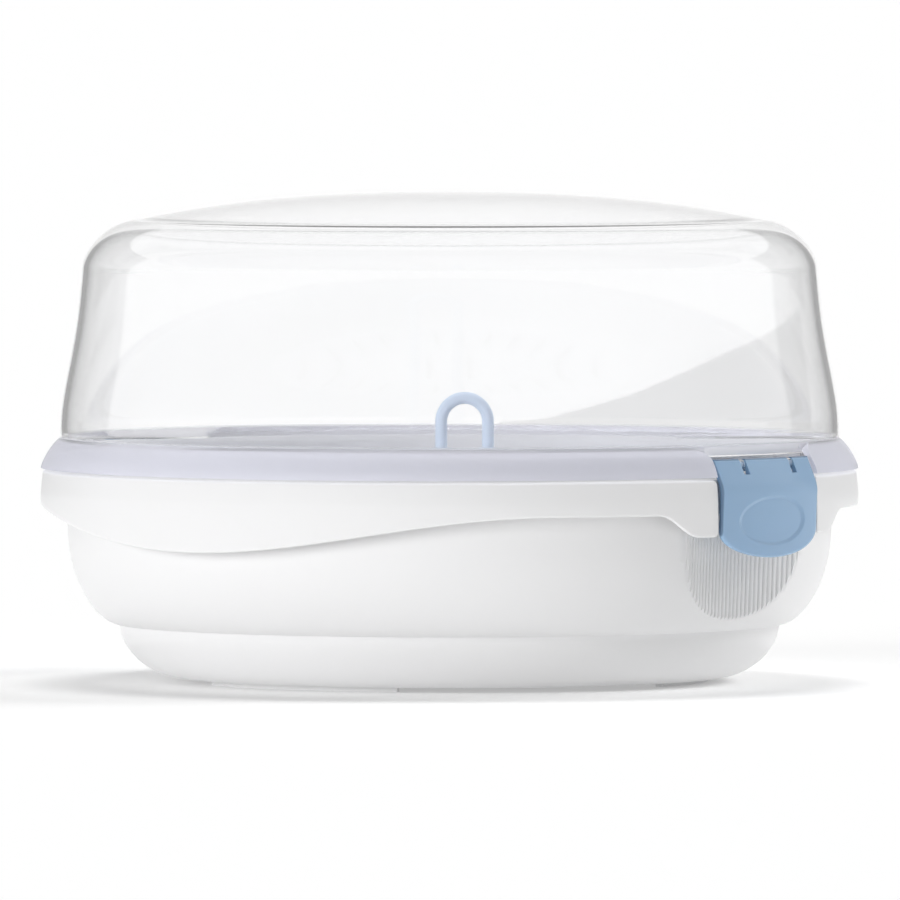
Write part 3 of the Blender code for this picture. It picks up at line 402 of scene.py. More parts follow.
def rounded(line, radius, points=5, closed=True):
    """Swaps each sharp corner of a section for a small arc."""
    count = len(line)
    made = []
    for i, corner in enumerate(line):
        if not closed and i in (0, count - 1):
            made.append(corner)
            continue
        here = Vector(corner)
        back = Vector(line[i - 1]) - here
        ahead = Vector(line[(i + 1) % count]) - here
        reach = min(radius, back.length * 0.45, ahead.length * 0.45)
        start, end = here + back.normalized() * reach, here + ahead.normalized() * reach
        for k in range(points + 1):
            share = k / points
            point = start * (1 - share) ** 2 + here * 2 * share * (1 - share) + end * share ** 2
            made.append(tuple(point))
    return made


def densify(line, spacing):
    """Adds points so that no step of the line is longer than the spacing."""
    made = [line[0]]
    for start, end in zip(line, line[1:]):
        steps = max(1, math.ceil((Vector(end) - Vector(start)).length / spacing))
        made += [tuple(Vector(start).lerp(Vector(end), k / steps)) for k in range(1, steps + 1)]
    return made

# %% [markdown]
# ## Joining and cutting
# A Boolean adds one solid to another or takes it away. The exact solver is slow on fine
# meshes but keeps them closed, and clear plastic needs closed walls: light bends wrongly
# through an open one.

# %% Booleans
def settle(thing):
    """Replaces an object's mesh by what its modifiers make of it."""
    bpy.context.view_layer.update()
    made = bpy.data.meshes.new_from_object(
        thing.evaluated_get(bpy.context.evaluated_depsgraph_get()))
    thing.modifiers.clear()
    thing.data = made
    return thing


def combine(thing, tools, operation):
    """Joins solids to a piece or cuts them out of it, one after another."""
    for tool in tools:
        step = thing.modifiers.new(tool.name, "BOOLEAN")
        step.operation = operation
        step.object = tool
        step.solver = "EXACT"
    settle(thing)
    for tool in tools:
        bpy.data.objects.remove(tool, do_unlink=True)
    return thing

# %% [markdown]
# ## Blocks to join and to cut with
# Every block that is joined or cut away is a row of rings, each with the same number of
# points. One function skins such a row, whether the rings run round the axis, along the
# hollow or straight through a plate.

# %% Blocks
ROUNDING_STEPS = 160


def outward(thing):
    """Turns every face of a closed solid to the outside."""
    solid = bmesh.new()
    solid.from_mesh(thing.data)
    bmesh.ops.recalc_face_normals(solid, faces=solid.faces)
    solid.to_mesh(thing.data)
    solid.free()
    return thing


def turned(thing, turn):
    thing.data.transform(Matrix.Rotation(turn, 4, "Z"))
    return thing


def skin(name, rings):
    """A closed solid through rings of points, with an end face on the first and last."""
    count, last = len(rings[0]), len(rings) - 1
    faces = [(i * count + k, (i + 1) * count + k, (i + 1) * count + (k + 1) % count,
              i * count + (k + 1) % count) for i in range(last) for k in range(count)]
    faces += [tuple(range(count))[::-1], tuple(last * count + k for k in range(count))]
    return outward(mesh_object(name, [point for ring in rings for point in ring], faces))


def swept_block(name, outline, middle, sweep, steps):
    """A closed (radius, height) outline swept about Z, with flat ends."""
    turns = [middle - sweep / 2 + sweep * i / steps for i in range(steps + 1)]
    return skin(name, [[around(radius, turn, height) for radius, height in outline]
                       for turn in turns])


def rounding_block(name, turn, start, size, inner, outer, edge, far):
    """Rounds the corners on both sides of a gap.

    The gap ends at the start angle on both sides of the turn. The block lies between the
    edge's height and a far one, and reaches past the edge along a quarter of an ellipse,
    whose size is its length round the piece and its height.
    """
    reach = start + size[0] / outer
    into = math.copysign(size[1], edge - far)
    rings = []
    for i in range(ROUNDING_STEPS + 1):
        angle = reach * (2 * i / ROUNDING_STEPS - 1)
        share = min(max((abs(angle) - start) / (reach - start), 0.0), 1.0)
        near = edge + into * (1 - math.sqrt(1 - (1 - share) ** 2))
        rings.append([around(radius, turn + angle, height) for radius, height in
                      ((outer, far), (outer, near), (inner, near), (inner, far))])
    return skin(name, rings)


def plate(name, outline, middle_y, thickness):
    """A flat (x, z) outline with a thickness along Y."""
    return skin(name, [[(x, middle_y + side * thickness / 2, z) for x, z in outline]
                       for side in (-1, 1)])


def prism(name, outline, low, high):
    """A flat (x, y) outline, raised from one height to another."""
    return skin(name, [[(x, y, z) for x, y in outline] for z in (low, high)])


def circle(across, up, radius, steps):
    return [(across + radius * math.cos(math.tau * i / steps),
             up + radius * math.sin(math.tau * i / steps)) for i in range(steps)]

# %% [markdown]
# ## Handing a piece to the frame
# A finished piece is shaded smooth but for its real corners, rides on the body of the model
# that it belongs to, and stands in for the solid of that piece.

# %% Dressing
SMOOTH_ANGLE = math.radians(35)


def dress(thing, node, body, material):
    """Gives a finished piece its shading, material and body, and the solid that it covers."""
    thing.data.materials.clear()
    thing.data.materials.append(material)
    thing.data.shade_smooth()
    thing.data.set_sharp_from_angle(angle=SMOOTH_ANGLE)
    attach(thing, body)
    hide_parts(node)
    thing.data.calc_loop_triangles()
    spans = [(min(axis), max(axis)) for axis in zip(*(v.co for v in thing.data.vertices))]
    print(f"{thing.name}: {len(thing.data.loop_triangles)} triangles,",
          "x %.4f..%.4f, z %.4f..%.4f" % (*spans[0], *spans[2]))
    return thing

# %% [markdown]
# ## White plastic
# The bowl and the ring are moulded polypropylene: smooth, slightly soft gloss, and never
# quite even, because the mould's polish and small scuffs change how sharp the gloss is.

# %% White plastic material
WHITE_PLASTIC = (0.87, 0.87, 0.875)
WHITE_PLASTIC_WORN = (0.868, 0.868, 0.872)
PLASTIC_IOR = 1.49


def moulded_plastic(name, colour, worn, rough_low, rough_high, scale, seed):
    material, tree = empty_material(name)
    fine = noise(tree, scale * 4, 4.0, seed + 5)
    shader = add_node(tree, "ShaderNodeBsdfPrincipled", {
        "Base Color": mix_colours(tree, noise(tree, scale, 3.0, seed), colour, worn),
        "Roughness": scale_range(tree, fine, rough_low, rough_high), "IOR": PLASTIC_IOR})
    add_node(tree, "ShaderNodeOutputMaterial", {"Surface": shader.outputs[0]})
    return material, shader


white_plastic = moulded_plastic("white_plastic", WHITE_PLASTIC, WHITE_PLASTIC_WORN,
                                0.29, 0.35, 18.0, 1.0)[0]
print("material", white_plastic.name)

# %% [markdown]
# ## The bowl
# The bowl holds the water that turns to steam. It has two tiers, so that it can be gripped,
# and it stands on three low arcs. It is one moulding: a wide belly, a small step, a narrower
# tub, and a wall of one thickness, drawn as one line outside and its inset inside.

# %% Bowl lines
BOWL_RIM = (0.1303, 0.0691)
BOWL_WALL = 0.0022
BELLY_TOP = (0.1298, 0.0512)
BELLY_END = (0.1125, 0.0195)
TUB_TOP = (0.1119, 0.0179)
TUB_END = (0.0930, 0.0016)
BELLY_FULLNESS = 1.8
TUB_FULLNESS = 1.7

belly = full_quarter(BELLY_TOP, BELLY_END, 40, BELLY_FULLNESS, False)
tub = full_quarter(TUB_TOP, TUB_END, 28, TUB_FULLNESS, False)
bowl_outer = densify([BOWL_RIM, BELLY_TOP], 0.004)[:-1] + belly + tub + [(0.0, TUB_END[1])]
coarse_inner = ([BOWL_RIM] + full_quarter(BELLY_TOP, BELLY_END, 12, BELLY_FULLNESS, False)
                + full_quarter(TUB_TOP, TUB_END, 10, TUB_FULLNESS, False) + [(0.0, TUB_END[1])])
bowl_inner = inset(coarse_inner, BOWL_WALL)
print("bowl line has", len(bowl_outer), "points outside and", len(bowl_inner), "inside")

# %% [markdown]
# ## Running a node tree
# Geometry Nodes build what repeats. A tree has named inputs, and this helper fills them in,
# runs the tree and keeps the plain mesh.

# %% Node tree helpers
def new_tree(name, inputs):
    """An empty tree with a mesh in and out, its own inputs, and its input node."""
    tree = bpy.data.node_groups.new(name, "GeometryNodeTree")
    for label, kind in (("Geometry", "Geometry"), *inputs, ("Material", "Material")):
        tree.interface.new_socket(label, in_out="INPUT", socket_type=f"NodeSocket{kind}")
    tree.interface.new_socket("Geometry", in_out="OUTPUT", socket_type="NodeSocketGeometry")
    return tree, add_node(tree, "NodeGroupInput")


def end_tree(tree, source, geometry):
    """Makes every copy real and gives it the material."""
    real = add_node(tree, "GeometryNodeRealizeInstances", {0: geometry})
    paint = add_node(tree, "GeometryNodeSetMaterial",
                     {"Geometry": real.outputs[0], "Material": source.outputs["Material"]})
    add_node(tree, "NodeGroupOutput", {0: paint.outputs[0]})


def run_tree(thing, tree, values):
    """Runs a node tree on a thing with named inputs, and keeps the mesh that it makes."""
    step = thing.modifiers.new(tree.name, "NODES")
    step.node_group = tree
    sockets = {item.name: item.identifier for item in tree.interface.items_tree
               if item.item_type == "SOCKET" and item.in_out == "INPUT"}
    for name, value in values.items():
        step[sockets[name]] = value
    return settle(thing)

# %% [markdown]
# ## Hollows for the fingers
# Under each clip the belly has a hollow: an almost upright wall that curves inwards, and that
# runs out lower down, where the belly narrows. That is what gives the patch its round lower
# edge. One shape makes it in three steps: a thin block carries the bowl's wall inwards, a
# ledge closes it above, and a thick block cuts the hollow out.

# %% Hollow
HOLLOW_FOOT = (0.1200, 0.0242)
HOLLOW_LEAN = 0.047
HOLLOW_CURVE = 0.114
HOLLOW_HALF_WIDTH = 0.0400
HOLLOW_STEPS = 48


def hollow_x(across, height):
    """How far out the hollow's wall stands."""
    return (HOLLOW_FOOT[0] + HOLLOW_LEAN * (height - HOLLOW_FOOT[1])
            + across ** 2 / (2 * HOLLOW_CURVE))


def hollow_block(name, back, front, low, high, turn):
    """A block whose back follows the hollow's wall, and its front stands free of it."""
    rings = []
    for i in range(HOLLOW_STEPS + 1):
        across = HOLLOW_HALF_WIDTH * (2 * i / HOLLOW_STEPS - 1)
        rings.append([(hollow_x(across, height) + shift, across, height)
                      for height, shift in ((high, front), (low, front), (low, back), (high, back))])
    return turned(skin(name, rings), turn)

# %% [markdown]
# ## Ribs, with Geometry Nodes
# Thin upright ribs stand on the hollow's wall. The node tree sets out a row of points along
# the curve of the wall, stands a rod on each point, and leans the rods as the wall leans. Each
# rod is half sunk into the wall, and is cut off where it would leave the belly.

# %% Rib tree
HOLLOW_TOP = 0.0622
RIB_COUNT = 33
RIB_PITCH = 0.0021
RIB_RADIUS = 0.0008
RIB_LOW = 0.0200
RIB_SIDES = 12


def rib_tree():
    tree, source = new_tree("ribbed_hollow", (("Ribs", "Int"), ("Pitch", "Float"),
                                              ("Wall Curve", "Float"), ("Rib Radius", "Float"),
                                              ("Foot", "Vector"), ("Head", "Vector")))
    given = source.outputs
    index = add_node(tree, "GeometryNodeInputIndex").outputs[0]
    last = calculate(tree, "SUBTRACT", given["Ribs"], 1.0)
    from_middle = calculate(tree, "SUBTRACT", index, calculate(tree, "DIVIDE", last, 2.0))
    across = calculate(tree, "MULTIPLY", from_middle, given["Pitch"])
    out = calculate(tree, "DIVIDE", calculate(tree, "MULTIPLY", across, across),
                    calculate(tree, "MULTIPLY", given["Wall Curve"], 2.0))
    place = add_node(tree, "ShaderNodeCombineXYZ", {"X": out, "Y": across})
    points = add_node(tree, "GeometryNodePoints",
                      {"Count": given["Ribs"], "Position": place.outputs[0]})
    line = add_node(tree, "GeometryNodeCurvePrimitiveLine",
                    {"Start": given["Foot"], "End": given["Head"]})
    profile = add_node(tree, "GeometryNodeCurvePrimitiveCircle",
                       {"Resolution": RIB_SIDES, "Radius": given["Rib Radius"]})
    rod = add_node(tree, "GeometryNodeCurveToMesh",
                   {"Curve": line.outputs[0], "Profile Curve": profile.outputs[0],
                    "Fill Caps": True})
    copies = add_node(tree, "GeometryNodeInstanceOnPoints",
                      {"Points": points.outputs[0], "Instance": rod.outputs[0]})
    end_tree(tree, source, copies.outputs[0])
    return tree


ribs_tree = rib_tree()


def ribs(name, turn):
    foot = (hollow_x(0.0, RIB_LOW), 0.0, RIB_LOW)
    head = (hollow_x(0.0, HOLLOW_TOP), 0.0, HOLLOW_TOP + RIB_RADIUS)
    thing = run_tree(mesh_object(name, [], []), ribs_tree,
                     {"Ribs": RIB_COUNT, "Pitch": RIB_PITCH, "Wall Curve": HOLLOW_CURVE,
                      "Rib Radius": RIB_RADIUS, "Foot": foot, "Head": head,
                      "Material": white_plastic})
    return outward(turned(thing, turn))


print("rib tree has", len(ribs_tree.nodes), "nodes")

# %% [markdown]
# ## Making the bowl
# The line is turned, the three foot arcs are joined on, and then each side gets its hollow:
# the wall and ledge are trimmed to the belly and joined, the hollow is cut out, and the ribs
# are set in. The trimmed pieces end a little inside the belly, so no two faces coincide.

# %% Bowl
SIDES = (("right", 0.0), ("left", math.pi))      # the two clips, by their turn about Z
FOOT_OUTER = 0.0883
FOOT_WIDTH = 0.0030
FOOT_TOP = 0.0026
FOOT_SWEEP = math.radians(54)
HOLLOW_WALL = 0.0012
LEDGE = 0.0014
LEDGE_TOP_SHARE = 0.9
WALL_SKIN = 0.0003
RIB_SKIN = 0.00012


def belly_solid(margin):
    """The bowl's outer form as a full solid, smaller by a margin."""
    return lathe("belly", inset(bowl_outer, margin))


bowl = lathe("water_bowl", bowl_inner[::-1] + bowl_outer)
foot_outline = rounded([(FOOT_OUTER, FOOT_TOP), (FOOT_OUTER, 0.0), (FOOT_OUTER - FOOT_WIDTH, 0.0),
                        (FOOT_OUTER - FOOT_WIDTH, FOOT_TOP)], 0.0006)
feet = [swept_block(f"foot_{i + 1}", foot_outline, math.radians(-90 + 120 * i), FOOT_SWEEP, 40)
        for i in range(3)]
combine(bowl, feet, "UNION")
for side, turn in SIDES:
    wall = hollow_block(f"hollow_wall_{side}", -HOLLOW_WALL, HOLLOW_WALL, RIB_LOW,
                        HOLLOW_TOP + LEDGE, turn)
    ledge = hollow_block(f"hollow_ledge_{side}", -HOLLOW_WALL / 2, 0.0080, HOLLOW_TOP,
                         HOLLOW_TOP + LEDGE * LEDGE_TOP_SHARE, turn)
    for piece in (wall, ledge):
        combine(piece, [belly_solid(WALL_SKIN)], "INTERSECT")
    rods = combine(ribs(f"hollow_ribs_{side}", turn), [belly_solid(RIB_SKIN)], "INTERSECT")
    combine(bowl, [wall, ledge], "UNION")
    combine(bowl, [hollow_block(f"hollow_{side}", 0.0, 0.0300, RIB_LOW - 0.005, HOLLOW_TOP,
                                turn)], "DIFFERENCE")
    combine(bowl, [rods], "UNION")
dress(bowl, "base_bowl", "base", white_plastic)

# %% [markdown]
# ## The ring
# A separate white ring is snapped over the bowl's rim, so that the place where hands go
# stays cooler than the bowl. Its skirt hangs clear of the bowl, and its lower edge is a slow
# wave: low at the front and back, high beside the clips, with a small bracket at each clip.

# %% Ring
RING_TOP = 0.0716
RING_RADIUS = 0.1390
RING_WALL = 0.0020
CLEARANCE = 0.0003                   # the gap that pieces keep to each other
RING_UNDER = BOWL_RIM[1] + CLEARANCE
SHOULDER_SLOPE = 0.0007
SHOULDER_HEIGHT = 0.0645
LIP_WALL = 0.0016
LIP_DROP = 0.0036
BEAD_HEIGHT = 0.0020
BEAD_OUTER = 0.1283
LIP_REACH = 0.0022
SKIRT_HIGH = 0.0601
SKIRT_LOW = 0.0475
SKIRT_BRACKET = 0.0526
WAVE_START = 37                      # these three are degrees from the nearer clip
BRACKET_END = 21
BRACKET_FADE = 6.5
RING_STEPS = 360


def smooth_step(share):
    share = min(max(share, 0.0), 1.0)
    return share * share * (3 - 2 * share)


def skirt_edge(degrees):
    """Lower edge of the skirt, by the angle from the nearer clip."""
    if degrees >= WAVE_START:
        swing = 0.5 - 0.5 * math.cos(math.pi * (degrees - WAVE_START) / (90 - WAVE_START))
        return SKIRT_HIGH + (SKIRT_LOW - SKIRT_HIGH) * swing
    return SKIRT_HIGH + (SKIRT_BRACKET - SKIRT_HIGH) * smooth_step(
        (BRACKET_END - degrees) / BRACKET_FADE)


shoulder = RING_RADIUS - SHOULDER_SLOPE
lip_outer = bowl_inner[0][0] - 0.0005
ring_section = rounded(
    [(shoulder, RING_TOP), (RING_RADIUS, SHOULDER_HEIGHT), (RING_RADIUS, SKIRT_LOW),
     (RING_RADIUS - RING_WALL, SKIRT_LOW), (RING_RADIUS - RING_WALL, SHOULDER_HEIGHT),
     (shoulder - RING_WALL, RING_UNDER), (lip_outer, RING_UNDER),
     (lip_outer, RING_UNDER - LIP_DROP), (lip_outer - LIP_WALL, RING_UNDER - LIP_DROP),
     (lip_outer - LIP_WALL, RING_TOP + BEAD_HEIGHT), (BEAD_OUTER, RING_TOP + BEAD_HEIGHT),
     (BEAD_OUTER, RING_TOP)], 0.0009, 4)
ring = lathe("skirt_ring", ring_section, closed=True, steps=RING_STEPS)
for vert in ring.data.vertices:
    above = vert.co.z - SKIRT_LOW
    if above < LIP_REACH:
        angle = math.degrees(math.atan2(abs(vert.co.y), abs(vert.co.x)))
        vert.co.z = skirt_edge(angle) + above
print("ring turned, its edge from", SKIRT_LOW, "to", SKIRT_HIGH)

# %% [markdown]
# ## Pockets for the clips
# At each clip the ring has a housing with a pocket cut into it, whose back panel carries a
# small catch for the clip's nib. The skirt's free corners beside the pocket are rounded.

# %% Pockets
POCKET_HALF_WIDTH = 0.0273
PANEL_RADIUS = 0.1346
PANEL_LOW = 0.0603
SKIRT_CORNER = (0.0018, 0.0018)
CATCH_HALF_WIDTH = 0.0110
CATCH_DEPTH = 0.0007
CATCH_HEIGHT = 0.0015
OVERRUN = 0.004                      # how far a cutter reaches past what it cuts

pocket = 2 * math.asin(POCKET_HALF_WIDTH / RING_RADIUS)
cheeks = pocket + 2 * RING_WALL / RING_RADIUS


def block(inner, outer, low, high):
    return [(outer, high), (outer, low), (inner, low), (inner, high)]


housing = block(PANEL_RADIUS - RING_WALL, shoulder - RING_WALL / 2, SKIRT_BRACKET + 0.0006,
                RING_UNDER + 0.0003)
outside, above = RING_RADIUS + OVERRUN, RING_TOP + OVERRUN
below, within = SKIRT_LOW - OVERRUN, PANEL_RADIUS - OVERRUN
recess = [(PANEL_RADIUS, above), (outside, above), (outside, below), (within, below),
          (within, PANEL_LOW), (PANEL_RADIUS, PANEL_LOW)]
catch = block(PANEL_RADIUS - RING_WALL / 2, PANEL_RADIUS + CATCH_DEPTH, PANEL_LOW + CLEARANCE,
              PANEL_LOW + CATCH_HEIGHT)
catch_sweep = 2 * math.asin(CATCH_HALF_WIDTH / PANEL_RADIUS)
for side, middle in SIDES:
    combine(ring, [swept_block(f"housing_{side}", housing, middle, cheeks, 40)], "UNION")
    combine(ring, [swept_block(f"recess_{side}", recess, middle, pocket, 40)], "DIFFERENCE")
    combine(ring, [swept_block(f"catch_{side}", catch, middle, catch_sweep, 16)], "UNION")
    for label, inner, edge, far in (
            ("low", RING_RADIUS - RING_WALL - 0.0004, SKIRT_BRACKET - 0.0001, SKIRT_BRACKET - 0.006),
            ("high", PANEL_RADIUS + 0.0002, RING_TOP + 0.0001, above)):
        combine(ring, [rounding_block(f"{label}_corners_{side}", middle, pocket / 2, SKIRT_CORNER,
                                      inner, outside, edge, far)], "DIFFERENCE")
dress(ring, "rim_ring", "base", white_plastic)

# %% [markdown]
# ## Clear plastic
# The lid is clear plastic with a slightly cool tint. Clear plastic is never flat white: each
# ray bends as it goes in and out, mirrors the room at a glance, and loses some light on its
# way through the wall. That last part is an absorption volume, so the thick rims and the
# walls seen edge on come out greyer than the dome's face. The flange is etched on a real lid:
# low on the outside the plastic turns milky, which hides the rim of the tray behind it.
# The lugs of the hinges stay clear.

# %% Clear plastic material
CLEAR_TINT = (0.994, 0.996, 1.0)
CLEAR_TINT_PALE = (0.999, 0.999, 1.0)
CLEAR_ROUGHNESS = (0.015, 0.045)
ABSORB_COLOUR = (0.66, 0.69, 0.76)
ABSORB_DENSITY = 2.5
MILKY_TINT = (0.83, 0.835, 0.90)
MILKY_ROUGHNESS = 0.30
MILKY_CLEARNESS = 0.58
MILKY_BEYOND = 0.1308                # radius, and the next two are heights
MILKY_BELOW = 0.0838
MILKY_FADE = 0.0012
LUG_REACH = 0.024
LUG_TOP = 0.0787

clear_plastic, clear_tree = empty_material("clear_plastic")
axes = object_axes(clear_tree)
squares = [calculate(clear_tree, "POWER", axes[axis], 2.0) for axis in ("X", "Y")]
from_axis = calculate(clear_tree, "SQRT", calculate(clear_tree, "ADD", *squares))
beside_lugs = calculate(clear_tree, "GREATER_THAN",
                        calculate(clear_tree, "ABSOLUTE", axes["Y"]), LUG_REACH)
above_lugs = calculate(clear_tree, "GREATER_THAN", axes["Z"], LUG_TOP)
in_flange = calculate(clear_tree, "MULTIPLY",
                      calculate(clear_tree, "GREATER_THAN", from_axis, MILKY_BEYOND),
                      between(clear_tree, axes["Z"], MILKY_BELOW, MILKY_BELOW - MILKY_FADE))
milky = calculate(clear_tree, "MULTIPLY",
                  calculate(clear_tree, "MAXIMUM", beside_lugs, above_lugs), in_flange)
haze = mix_colours(clear_tree, noise(clear_tree, 26.0, 3.0, 4.0), CLEAR_TINT, CLEAR_TINT_PALE)
polish = scale_range(clear_tree, noise(clear_tree, 60.0, 4.0, 6.0), *CLEAR_ROUGHNESS)
clear_shader = add_node(clear_tree, "ShaderNodeBsdfPrincipled", {
    "Base Color": mix_colours(clear_tree, milky, haze, MILKY_TINT),
    "Roughness": calculate(clear_tree, "MULTIPLY_ADD", milky, MILKY_ROUGHNESS, polish),
    "Transmission Weight": scale_range(clear_tree, milky, 1.0, MILKY_CLEARNESS),
    "IOR": PLASTIC_IOR})
absorb = add_node(clear_tree, "ShaderNodeVolumeAbsorption",
                  {"Color": opaque(ABSORB_COLOUR), "Density": ABSORB_DENSITY})
add_node(clear_tree, "ShaderNodeOutputMaterial",
         {"Surface": clear_shader.outputs[0], "Volume": absorb.outputs[0]})
print("material", clear_plastic.name)

# %% [markdown]
# ## The lid
# The dome is tall enough for standing bottles. Its roof is nearly flat, and its wall spreads
# slightly as it comes down, so that the moulding leaves its mould. At the foot it flares
# into a flange, and a standing rib inside the flange rests on the ring. The roof is bare.

# %% Lid lines
LID_TOP = 0.1660
LID_WALL = 0.0020
ROOF_EDGE = (0.1061, 0.1567)
SHOULDER = (0.1249, 0.1396)
SKIRTING = (0.1322, 0.0828)
FLANGE_LIP = (0.1390, 0.0726)
FLANGE_WALL = 0.0018
STAND_OUTER = 0.1305
STAND_WALL = 0.0018
STAND_FOOT = RING_TOP + CLEARANCE
WALL_SHARES = ((0.287, 0.233), (0.479, 0.479), (0.669, 0.767), (1.0, 1.0))


def roof_line(points):
    drop = LID_TOP - ROOF_EDGE[1]
    return [(ROOF_EDGE[0] * i / points, LID_TOP - drop * (i / points) ** 2.4)
            for i in range(points)]


def wall_line(points):
    """A smooth curve through the wall's measured stations."""
    down = [0.0] + [share[0] for share in WALL_SHARES]
    across = [0.0] + [share[1] for share in WALL_SHARES]
    fit = np.polyfit(down, across, 4)
    line = []
    for i in range(1, points + 1):
        share = i / points
        line.append((SHOULDER[0] + (SKIRTING[0] - SHOULDER[0]) * float(np.polyval(fit, share)),
                     SHOULDER[1] - (SHOULDER[1] - SKIRTING[1]) * share))
    line[-1] = SKIRTING
    return line


def dome_line(points):
    return (roof_line(points) + full_quarter(ROOF_EDGE, SHOULDER, points, 1.75, True)
            + wall_line(points))


dome_outer = dome_line(28)
flange = full_quarter(SKIRTING, FLANGE_LIP, 20, 1.3, True)
fork = SKIRTING[1] - FLANGE_WALL
flange_under = [point for point in inset(flange, FLANGE_WALL)[::-1] if point[1] < fork]
flange_under[0] = (FLANGE_LIP[0] - FLANGE_WALL, FLANGE_LIP[1])
stand = [(STAND_OUTER, fork - STAND_WALL), (STAND_OUTER, STAND_FOOT),
         (STAND_OUTER - STAND_WALL, STAND_FOOT)]
dome_inner = inset(dome_line(20), LID_WALL)[::-1]
lid_line = dome_outer + flange[1:] + flange_under + stand + dome_inner
print("lid line has", len(lid_line), "points")

# %% [markdown]
# ## Making the lid
# The flange is cut away at each clip, with a rounded start, and two lugs with a bore stand in
# the gap to hold the hinge pin. A clear shell would throw a nearly black shadow here, which
# no real dome does, so its shadow is switched off.

# %% Lid
HINGE = Vector((0.1336, 0.0, 0.0762))
LUG_RADIUS = 0.0021
LUG_WIDTH = 0.0024
LUG_OFFSET = 0.0130
PIN_RADIUS = 0.0012
LUG_STEPS = 24
LUG_BORE_HALF = 0.0205
FLANGE_NOTCH_HALF = 0.0275
NOTCH_ROUND = (0.0120, 0.0052)       # how far the rounding reaches along the flange, and down


def bar(name, radius, half_length, steps=48):
    """A round bar along the hinge axis of the right-hand clip."""
    return plate(name, circle(HINGE.x, HINGE.z, radius, steps), 0.0, 2 * half_length)


def lug(name, offset):
    root = math.sqrt((STAND_OUTER - STAND_WALL / 2) ** 2 - offset ** 2)
    outline = [(root, HINGE.z - LUG_RADIUS)]
    for i in range(LUG_STEPS + 1):
        angle = -math.pi / 2 + math.pi * i / LUG_STEPS
        outline.append((HINGE.x + LUG_RADIUS * math.cos(angle),
                        HINGE.z + LUG_RADIUS * math.sin(angle)))
    return plate(name, outline + [(root, HINGE.z + LUG_RADIUS)], offset, LUG_WIDTH)


lid = lathe("clear_lid", lid_line)
notch = 2 * math.asin(FLANGE_NOTCH_HALF / FLANGE_LIP[0])
past_lip, past_top = FLANGE_LIP[0] + OVERRUN, SKIRTING[1] + OVERRUN
trim = [(SKIRTING[0] + CLEARANCE, past_top), (past_lip, past_top), (past_lip, STAND_FOOT - OVERRUN),
        (STAND_OUTER + CLEARANCE, STAND_FOOT - OVERRUN),
        (STAND_OUTER + CLEARANCE, fork - STAND_WALL), (SKIRTING[0] + CLEARANCE, SKIRTING[1])]
for side, turn in SIDES:
    combine(lid, [swept_block(f"notch_{side}", trim, turn, notch, 40)], "DIFFERENCE")
    combine(lid, [rounding_block(f"notch_rounding_{side}", turn, notch / 2, NOTCH_ROUND,
                                 SKIRTING[0] + 0.0001, past_lip, SKIRTING[1] + 0.0002,
                                 past_top)], "DIFFERENCE")
    lugs = [turned(lug(f"lug_{side}_{label}", offset), turn)
            for label, offset in (("a", LUG_OFFSET), ("b", -LUG_OFFSET))]
    combine(lid, lugs, "UNION")
    bore = bar(f"lug_bore_{side}", PIN_RADIUS + CLEARANCE, LUG_BORE_HALF)
    combine(lid, [turned(bore, turn)], "DIFFERENCE")
dress(lid, "lid", "lid", clear_plastic)
lid.visible_shadow = False

# %% [markdown]
# ## Pale plastics
# The tray is a very pale lavender and its loop a pale blue, and both let some light through.
# Some of the light that enters comes out again as a milky glow, so the shader mixes plain
# colour with transmission.

# %% Pale materials
LAVENDER = (0.82, 0.83, 0.88)
LAVENDER_WORN = (0.83, 0.84, 0.88)
PALE_BLUE = (0.66, 0.76, 0.92)
PALE_BLUE_WORN = (0.67, 0.77, 0.92)
PALE_CLEARNESS = 0.25

pale_lavender, lavender_shader = moulded_plastic("pale_lavender_plastic", LAVENDER,
                                                 LAVENDER_WORN, 0.29, 0.34, 22.0, 31.0)
pale_blue, pale_shader = moulded_plastic("pale_blue_plastic", PALE_BLUE, PALE_BLUE_WORN,
                                         0.29, 0.34, 22.0, 11.0)
for shader in (lavender_shader, pale_shader):
    shader.inputs["Transmission Weight"].default_value = PALE_CLEARNESS
print("materials", pale_lavender.name, pale_blue.name)

# %% [markdown]
# ## The tray
# The tray is a dish of slots that holds the bottle parts above the water. It stands on the
# step between the bowl's two tiers. Steam rises through two rings of slots.

# %% Tray
TRAY_RIM = (0.1215, 0.0797)
TRAY_WALL = 0.0018
TRAY_ROLL = 0.0022
TRAY_FOOT = (0.1128, 0.1096)
TRAY_SIDE = (0.1178, 0.0400)
foot_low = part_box("tray")[0].z
tray_floor = foot_low + 0.0024
outer_half = [(TRAY_RIM[0] - TRAY_ROLL / 2, TRAY_RIM[1]), (TRAY_RIM[0], TRAY_RIM[1] - TRAY_ROLL / 2),
              (TRAY_RIM[0], TRAY_RIM[1] - TRAY_ROLL),
              (TRAY_RIM[0] - TRAY_ROLL / 2, TRAY_RIM[1] - TRAY_ROLL), TRAY_SIDE,
              (TRAY_FOOT[0], tray_floor), (TRAY_FOOT[0], foot_low), (TRAY_FOOT[1], foot_low),
              (TRAY_FOOT[1], tray_floor), (0.0, tray_floor)]
inner_half = [(0.0, tray_floor + TRAY_WALL), (TRAY_FOOT[0] - TRAY_WALL, tray_floor + TRAY_WALL),
              (TRAY_SIDE[0] - TRAY_WALL, TRAY_SIDE[1]),
              (TRAY_RIM[0] - TRAY_ROLL / 2 - TRAY_WALL, TRAY_RIM[1] - TRAY_ROLL),
              (TRAY_RIM[0] - TRAY_ROLL / 2 - TRAY_WALL / 2, TRAY_RIM[1])]
tray = lathe("steam_tray", rounded(inner_half + outer_half, 0.0008, 4, closed=False), steps=192)


